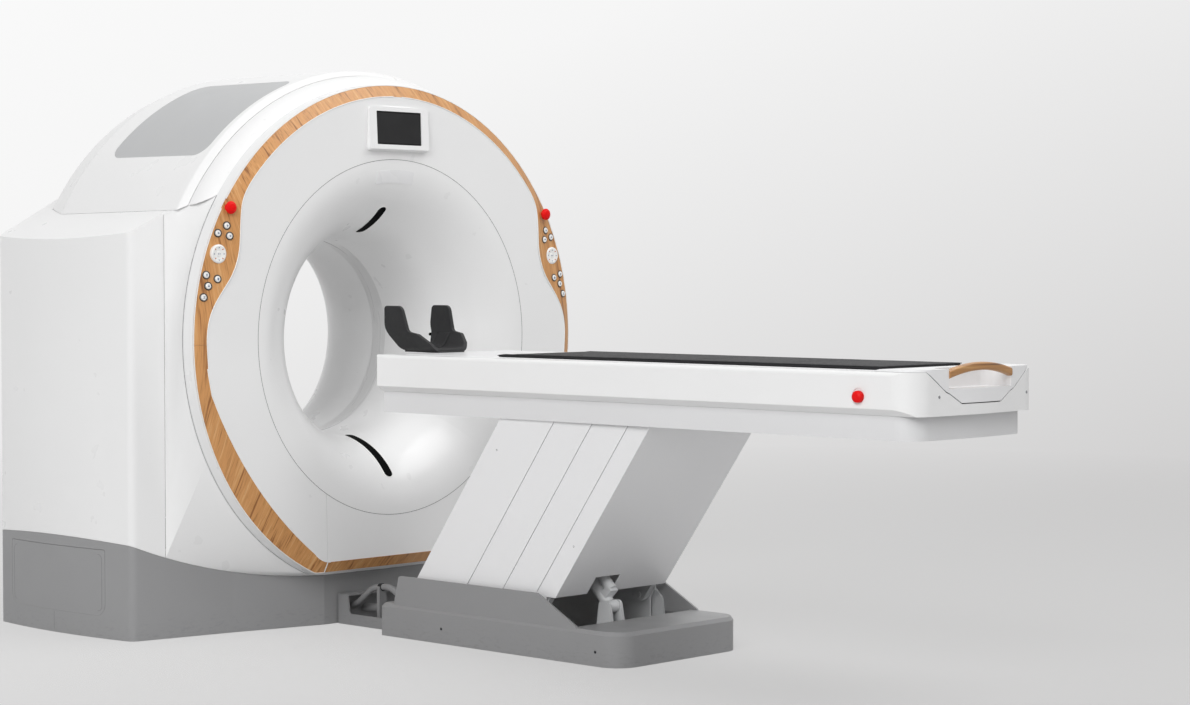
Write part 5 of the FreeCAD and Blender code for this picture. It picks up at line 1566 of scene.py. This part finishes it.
    def build(self, wardrobe: Wardrobe) -> None:
        """Adds the cushion, its piping and its stitches.

        Args:
            wardrobe: Where the finishes come from.
        """
        obj = self.cushion()
        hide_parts("mattress")
        wardrobe.dress(obj, "cradle", "pad_black")
        wardrobe.dress(self.piping(), "cradle", "pad_black")
        wardrobe.dress(self.stitches(), "cradle", "thread_grey")


@dataclass
class Holder:
    """Soft liner of the head holder, fanned out from a line above it. Angles are in degrees."""

    y0: float = -104.0
    y1: float = -172.0
    eye_z: float = 1035.0
    first: float = 196.0
    sweep: float = 148.0
    gap: float = 0.5
    thick: float = 5.5
    rows: int = 14
    columns: int = 44

    def build(self, wardrobe: Wardrobe) -> None:
        """Adds the liner against the inside of the trough.

        Args:
            wardrobe: Where the finishes come from.
        """
        skin = Skin("head_holder")
        back: list[Vector] = []
        face: list[Vector] = []
        for row in range(self.rows + 1):
            y = self.y0 + (self.y1 - self.y0) * row / self.rows
            for column in range(self.columns + 1):
                angle = math.radians(self.first + self.sweep * column / self.columns)
                way = Vector((math.cos(angle), 0.0, math.sin(angle)))
                wall = skin.hit((0.0, y, self.eye_z), way)
                rim = min(row, self.rows - row, column, self.columns - column) / 2.0
                round_off = math.sqrt(max(0.06, 1.0 - max(0.0, 1.0 - rim) ** 2))
                back.append(wall - way * self.gap)
                face.append(wall - way * (self.gap + self.thick * round_off))
        liner = add_piece("holder_liner", back + face, slab_faces(self.rows, self.columns))
        wardrobe.dress(liner, "cradle", "liner_black")


@dataclass
class Fasteners:
    """Screws of the table, lift and base, and bolt circles of the turning parts.

    Screw places are (x, z) on the foot end and (y, z) on the sides; a circle is its radius, depth and count.
    """

    head_r: float = 4.6
    head_h: float = 1.5
    side_x: float = 296.0
    plate_x: float = 268.5
    layer: float = 9.0
    sink: float = 1.35
    table_foot: tuple[Flat, ...] = ((-195.0, 873.0), (241.0, 872.0))
    base_side: tuple[Flat, ...] = ((-538.0, 49.0), (-1232.0, 45.0))
    arm_plate: tuple[Flat, ...] = ((-771.0, 647.0),)
    link_plate: tuple[Flat, ...] = ((-1105.0, 360.0),)
    bolt: Outline = ((0.0, 0.0), (13.0, 0.0), (13.0, 2.0), (10.0, 2.0), (10.0, 8.4), (9.0, 9.0), (0.0, 9.0))
    race: tuple[tuple[float, float, int], ...] = ((580.0, 590.0, 24),)
    drum: tuple[tuple[float, float, int], ...] = ((455.0, 540.0, 18), (535.0, 540.0, 12))

    def screw(self) -> list[Flat]:
        """Outline of a low domed head with a round socket.

        Returns:
            The outline.
        """
        r, h = self.head_r, self.head_h
        return [(0.0, 0.0), (r, 0.0), (r, 0.4), (r * 0.8, h * 0.85), (r * 0.46, h), (r * 0.42, h * 0.2),
                (0.0, h * 0.2)]

    @staticmethod
    def on_sides(x: float, places: Sequence[Flat]) -> list[tuple[Spot, Spot]]:
        """Spots on both flanks, facing outwards."""
        return [((side.value * x, y, z), (side.value, 0.0, 0.0)) for side in Side for y, z in places]

    @staticmethod
    def on_circles(circles: Sequence[tuple[float, float, int]]) -> list[tuple[Spot, Spot]]:
        """Spots on circles round the bore, facing the front."""
        return [((x, y, z), TO_FRONT) for radius, y, count in circles
                for x, z in round_points(count, radius, (0.0, BORE_Z))]

    def build(self, wardrobe: Wardrobe) -> None:
        """Adds them all, one piece for each body and kind.

        Args:
            wardrobe: Where the finishes come from.
        """
        cover = Skin("table_cover")
        table = [((x, cover.hit((x, -2700.0, z), TO_BACK).y, z), TO_FRONT) for x, z in self.table_foot]
        outer = self.plate_x - self.sink
        base, arms = self.on_sides(self.side_x, self.base_side), self.on_sides(outer, self.arm_plate)
        links = self.on_sides(outer - self.layer, self.link_plate)
        screw, bolt = lathe("screw", self.screw(), 20), lathe("bolt", self.bolt, 6)
        for name, body, stud, spots, finish in (
                ("screws_table", "table", screw, table, "screw_zinc"),
                ("screws_housing", "housing", screw, base, "screw_black"),
                ("screws_lift_arms", "lift_arms", screw, arms, "screw_black"),
                ("screws_rear_links", "rear_links", screw, links, "screw_black"),
                ("race_bolts", "housing", bolt, self.on_circles(self.race), "screw_zinc"),
                ("drum_bolts", "rotor", bolt, self.on_circles(self.drum), "screw_zinc")):
            wardrobe.dress(grow_studs(name, stud, spots), body, finish)
        for stud in (screw, bolt):
            bpy.data.objects.remove(stud)


@dataclass
class Rear:
    """Air grilles of the rear cover, one low on each side."""

    middle_x: float = 775.0
    low_z: float = 400.0
    width: float = 150.0
    slats: int = 15
    pitch: float = 13.0
    slat: Flat = (4.2, 1.6)
    tilt: float = 35.0
    face_y: float = 976.0
    margin: float = 12.0
    sill: float = 6.0
    edge: float = 9.0
    rim_depth: float = 5.0
    soft: float = 1.2

    def build(self, wardrobe: Wardrobe) -> None:
        """Adds both grilles."""
        for side in Side:
            self.grille(side, wardrobe)

    def grille(self, side: Side, wardrobe: Wardrobe) -> None:
        """Adds the slats, the rim and a dark sheet behind the slats that paints the shade inside one grille.

        Args:
            side: The side.
            wardrobe: Where the finishes come from.
        """
        place = side.name.lower()
        x, height, half = side.value * self.middle_x, self.slats * self.pitch + self.margin, self.width / 2.0
        size = (self.width, *self.slat)
        bank = grow_slats(f"grille_slats_{place}", self.slats, self.pitch, size, self.tilt)
        bank.data.transform(Matrix.Translation(Vector((x, self.face_y + 2.6, self.low_z + self.margin)) * MM))
        wardrobe.dress(bank, "housing", "bezel_white")

        def loop(wide: float, low: float, high: float) -> list[Flat]:
            """A rectangle round the grille's middle line, as (x, z) points."""
            corners = ((-wide, low), (wide, low), (wide, high), (-wide, high))
            return [(x + u, self.low_z + v) for u, v in corners]

        inner = loop(half, self.sill, height)
        outer = loop(half + self.edge, self.sill - 8.0, height + 8.0)
        points = [(u, self.face_y + out, v) for out in (0.1, self.rim_depth) for u, v in outer + inner]
        faces = [(low + i, low + (i + 1) % 4, high + (i + 1) % 4, high + i)
                 for i in range(4) for low, high in ((0, 4), (8, 12), (0, 8), (4, 12))]
        rim = wardrobe.dress(add_piece(f"grille_rim_{place}", points, faces, False), "housing", "bezel_white")
        soften = rim.modifiers.new("edge", "BEVEL")
        soften.width, soften.segments = self.soft * MM, 3
        # dark sheet laid on the cover behind the slats: painted shade of the grille's inside
        points = [(u, self.face_y + out, v) for out in (0.05, 0.4) for u, v in inner]
        back = add_piece(f"grille_back_{place}", points, prism_faces(4), False)
        wardrobe.dress(back, "housing", "seam_dark")


@dataclass
class Hoses:
    """Rib sleeve of the middle hose and dark clamps on the others, between the housing and the base.

    A clamp is its start, its end and the radius of its bands.
    """

    sleeve: tuple[Spot, ...] = ((-94.0, -84.0, 63.2), (-94.0, -100.0, 65.2), (-94.0, -120.0, 65.0),
                                (-94.0, -160.0, 63.0), (-94.0, -180.0, 61.4), (-94.0, -236.0, 53.8))
    clamps: tuple[tuple[Spot, Spot, float], ...] = (((-150.0, -78.0, 133.1), (-150.0, -92.0, 134.9), 11.6),
                                                    ((63.0, -96.0, 39.0), (63.0, -84.0, 38.6), 18.6))

    def build(self, wardrobe: Wardrobe) -> None:
        """Adds the sleeve and the clamps.

        Args:
            wardrobe: Where the finishes come from.
        """
        ribs = grow_rings(add_chain("hose_sleeve", self.sleeve), pitch=6.0, radius=15.5, thick=1.5)
        wardrobe.dress(ribs, "housing", "hose_grey")
        for number, (start, end, radius) in enumerate(self.clamps):
            chain = add_chain(f"hose_clamp_{number}", (start, end))
            wardrobe.dress(grow_rings(chain, pitch=3.4, radius=radius, thick=2.0), "housing", "liner_black")


@dataclass
class Hatches:
    """Faint inner line of the hatch in each side of the plinth, and the seam below it: darker grey beads that
    paint the shade of their grooves.
    """

    y0: float = 372.0
    y1: float = 875.0
    z0: float = 91.0
    z1: float = 279.0
    corner: float = 16.0
    seam_y: float = 623.0
    seam_heights: tuple[float, ...] = (71.0, 40.0, 8.0)
    outside_x: float = 1300.0
    line_r: float = 0.8

    def outline(self) -> list[Flat]:
        """The rounded rectangle as (y, z) points.

        Returns:
            The points.
        """
        c = self.corner
        points: list[Flat] = []
        for first, y, z in ((0, self.y1 - c, self.z1 - c), (90, self.y0 + c, self.z1 - c),
                            (180, self.y0 + c, self.z0 + c), (270, self.y1 - c, self.z0 + c)):
            turns = [math.radians(first + 15.0 * step) for step in range(7)]
            points += [(y + c * math.cos(turn), z + c * math.sin(turn)) for turn in turns]
        return points

    def build(self, wardrobe: Wardrobe) -> None:
        """Adds the line and the seam on both sides.

        Args:
            wardrobe: Where the finishes come from.
        """
        skin = Skin("plinth")
        seam = [(self.seam_y, z) for z in self.seam_heights]
        for side in Side:
            for name, places, closed in (("hatch_line", self.outline(), True), ("hatch_seam", seam, False)):
                start, way = side.value * self.outside_x, (-side.value, 0.0, 0.0)
                points = [skin.hit((start, y, z), way) for y, z in places]
                chain = add_chain(f"{name}_{side.name.lower()}", points, closed)
                # darker grey than the plinth: painted shade of the hatch's groove and seam
                wardrobe.dress(grow_pipe(chain, self.line_r, 6), "housing", "trunk_grey")


# Studio

@dataclass(frozen=True)
class Lamp:
    """A square soft lamp, in metres and watts."""

    name: str
    spot: Spot
    target: Spot
    side: float
    power: float

    def build(self) -> None:
        """Hangs the lamp."""
        data = bpy.data.lights.new(self.name, "AREA")
        data.shape, data.size, data.energy = "SQUARE", self.side, self.power
        obj = add_object(self.name, data)
        obj.location = self.spot
        obj.rotation_euler = (Vector(self.target) - Vector(self.spot)).to_track_quat("-Z", "Y").to_euler()


@dataclass
class Studio:
    """Pale floor, soft light, plain gradient behind, and the camera.

    The gradient's stops are places from low left to high right and the greys seen there, 0 to 255.
    """

    eye: Spot = (-5991.0, -6599.0, 1234.0)
    heading: float = 46.695
    dip: float = 1.918
    focal_px: float = 2542.5
    frame_px: float = 1190.0
    sensor: float = 36.0
    floor_r: float = 26.0
    floor_z: float = -0.5
    floor_tones: Flat = (213.0, 216.0)
    ambient: float = 0.36
    rise: float = 0.62
    slope: float = -0.23
    gradient: tuple[Flat, ...] = ((0.35, 205.0), (0.40, 210.0), (0.56, 246.0), (0.65, 251.0))
    warmth: float = 0.02
    lamps: tuple[Lamp, ...] = (Lamp("key", (-12.0, -6.4, 8.0), (-0.3, -0.5, 1.0), 8.0, 1200.0),
                               Lamp("top", (2.0, -3.0, 6.8), (0.0, -0.3, 1.0), 5.0, 235.0))

    def camera(self) -> None:
        """Adds the camera at the photograph's place."""
        data = bpy.data.cameras.new("camera")
        data.sensor_width = self.sensor
        data.lens = self.sensor * self.focal_px / self.frame_px
        data.clip_start, data.clip_end = 0.1, 200.0
        obj = add_object("camera", data)
        obj.location = Vector(self.eye) * MM
        obj.rotation_euler = (math.radians(90.0 - self.dip), 0.0, math.radians(-self.heading))
        bpy.context.scene.camera = obj

    def world(self) -> None:
        """Plain light all round, with a pale gradient where the camera looks past the machine."""
        world = bpy.data.worlds.new("studio")
        world.use_nodes = True
        bpy.context.scene.world = world
        graph = Graph(world.node_tree)
        way = graph.add("ShaderNodeTexCoord").outputs["Generated"]
        cos, sin = math.cos(math.radians(self.heading)), math.sin(math.radians(self.heading))

        def along(axis: Spot) -> Socket:
            """Share of the direction along an axis."""
            made = graph.add("ShaderNodeVectorMath", {0: way, 1: axis}, operation="DOT_PRODUCT")
            return made.outputs["Value"]

        depth = graph.math("MAXIMUM", along((sin, cos, 0.0)), 0.2)
        across = graph.math("DIVIDE", along((cos, -sin, 0.0)), depth)
        up = graph.math("DIVIDE", along(UP), depth)
        level = graph.math("ADD", graph.math("MULTIPLY", up, self.rise),
                           graph.math("MULTIPLY", across, self.slope))
        cool = {grey: grey - self.warmth * (self.gradient[-1][1] - grey) for _, grey in self.gradient}
        stops = [(place, tone(grey, cool[grey], cool[grey])) for place, grey in self.gradient]
        backdrop = graph.ramp(graph.math("ADD", level, 0.5), stops)
        seen = graph.add("ShaderNodeBackground", {"Color": backdrop}).outputs[0]
        white = (1.0, 1.0, 1.0, 1.0)
        lit = graph.add("ShaderNodeBackground", {"Color": white, "Strength": self.ambient}).outputs[0]
        graph.add("ShaderNodeOutputWorld", {"Surface": graph.mixed(graph.straight(), lit, seen)})

    def floor(self, steps: int = 64) -> None:
        """Pale floor that lets the gradient through and keeps a soft shadow.

        Args:
            steps: Faces round it.
        """
        points = [(x, y, self.floor_z) for x, y in [(0.0, 0.0), *round_points(steps, self.floor_r * 1000.0)]]
        obj = add_piece("floor", points, [(0, 1 + i, 1 + (i + 1) % steps) for i in range(steps)], False)
        if obj.data.polygons[0].normal.z < 0.0:
            obj.data.flip_normals()
        pen = Pen("studio_floor")
        pen.set(Roughness=0.9, Specular_IOR_Level=0.1)
        stops = [(place, tone(grey, grey, grey)) for place, grey in zip((0.2, 0.8), self.floor_tones)]
        pen.colour(pen.ramp(pen.noise(scale=0.15, detail=0.0), stops))
        x, y, _ = pen.place()
        far = pen.math("SQRT", pen.math("ADD", pen.math("MULTIPLY", x, x), pen.math("MULTIPLY", y, y)))
        cover = pen.between(far, low=0.30, high=0.0, start=3.0, end=9.0)
        bare = pen.math("MULTIPLY", pen.straight(), pen.math("SUBTRACT", 1.0, cover))
        clear = pen.add("ShaderNodeBsdfTransparent").outputs[0]
        mix = pen.mixed(pen.math("SUBTRACT", 1.0, bare), clear, pen.shader.outputs[0])
        pen.join(mix, pen.out.inputs["Surface"])
        obj.data.materials.append(pen.material)

    def build(self) -> None:
        """Adds the whole studio."""
        self.camera()
        self.world()
        self.floor()
        for lamp in self.lamps:
            lamp.build()
        bpy.context.scene.view_settings.view_transform = "Standard"
        LOG.info("studio ready")


def main() -> None:
    """Builds everything in order."""
    logging.basicConfig(level=logging.INFO, stream=sys.stdout, format="%(name)s: %(message)s")
    Studio().build()
    wardrobe = Wardrobe()
    wardrobe.dress_nodes()
    parts = (Funnel(), RingTrim(), Controls(), Mattress(), Holder(), Fasteners(), Rear(), Hoses(), Hatches())
    for part in parts:
        part.build(wardrobe)
        LOG.info("%s done", type(part).__name__)


if __name__ == "__main__":
    main()
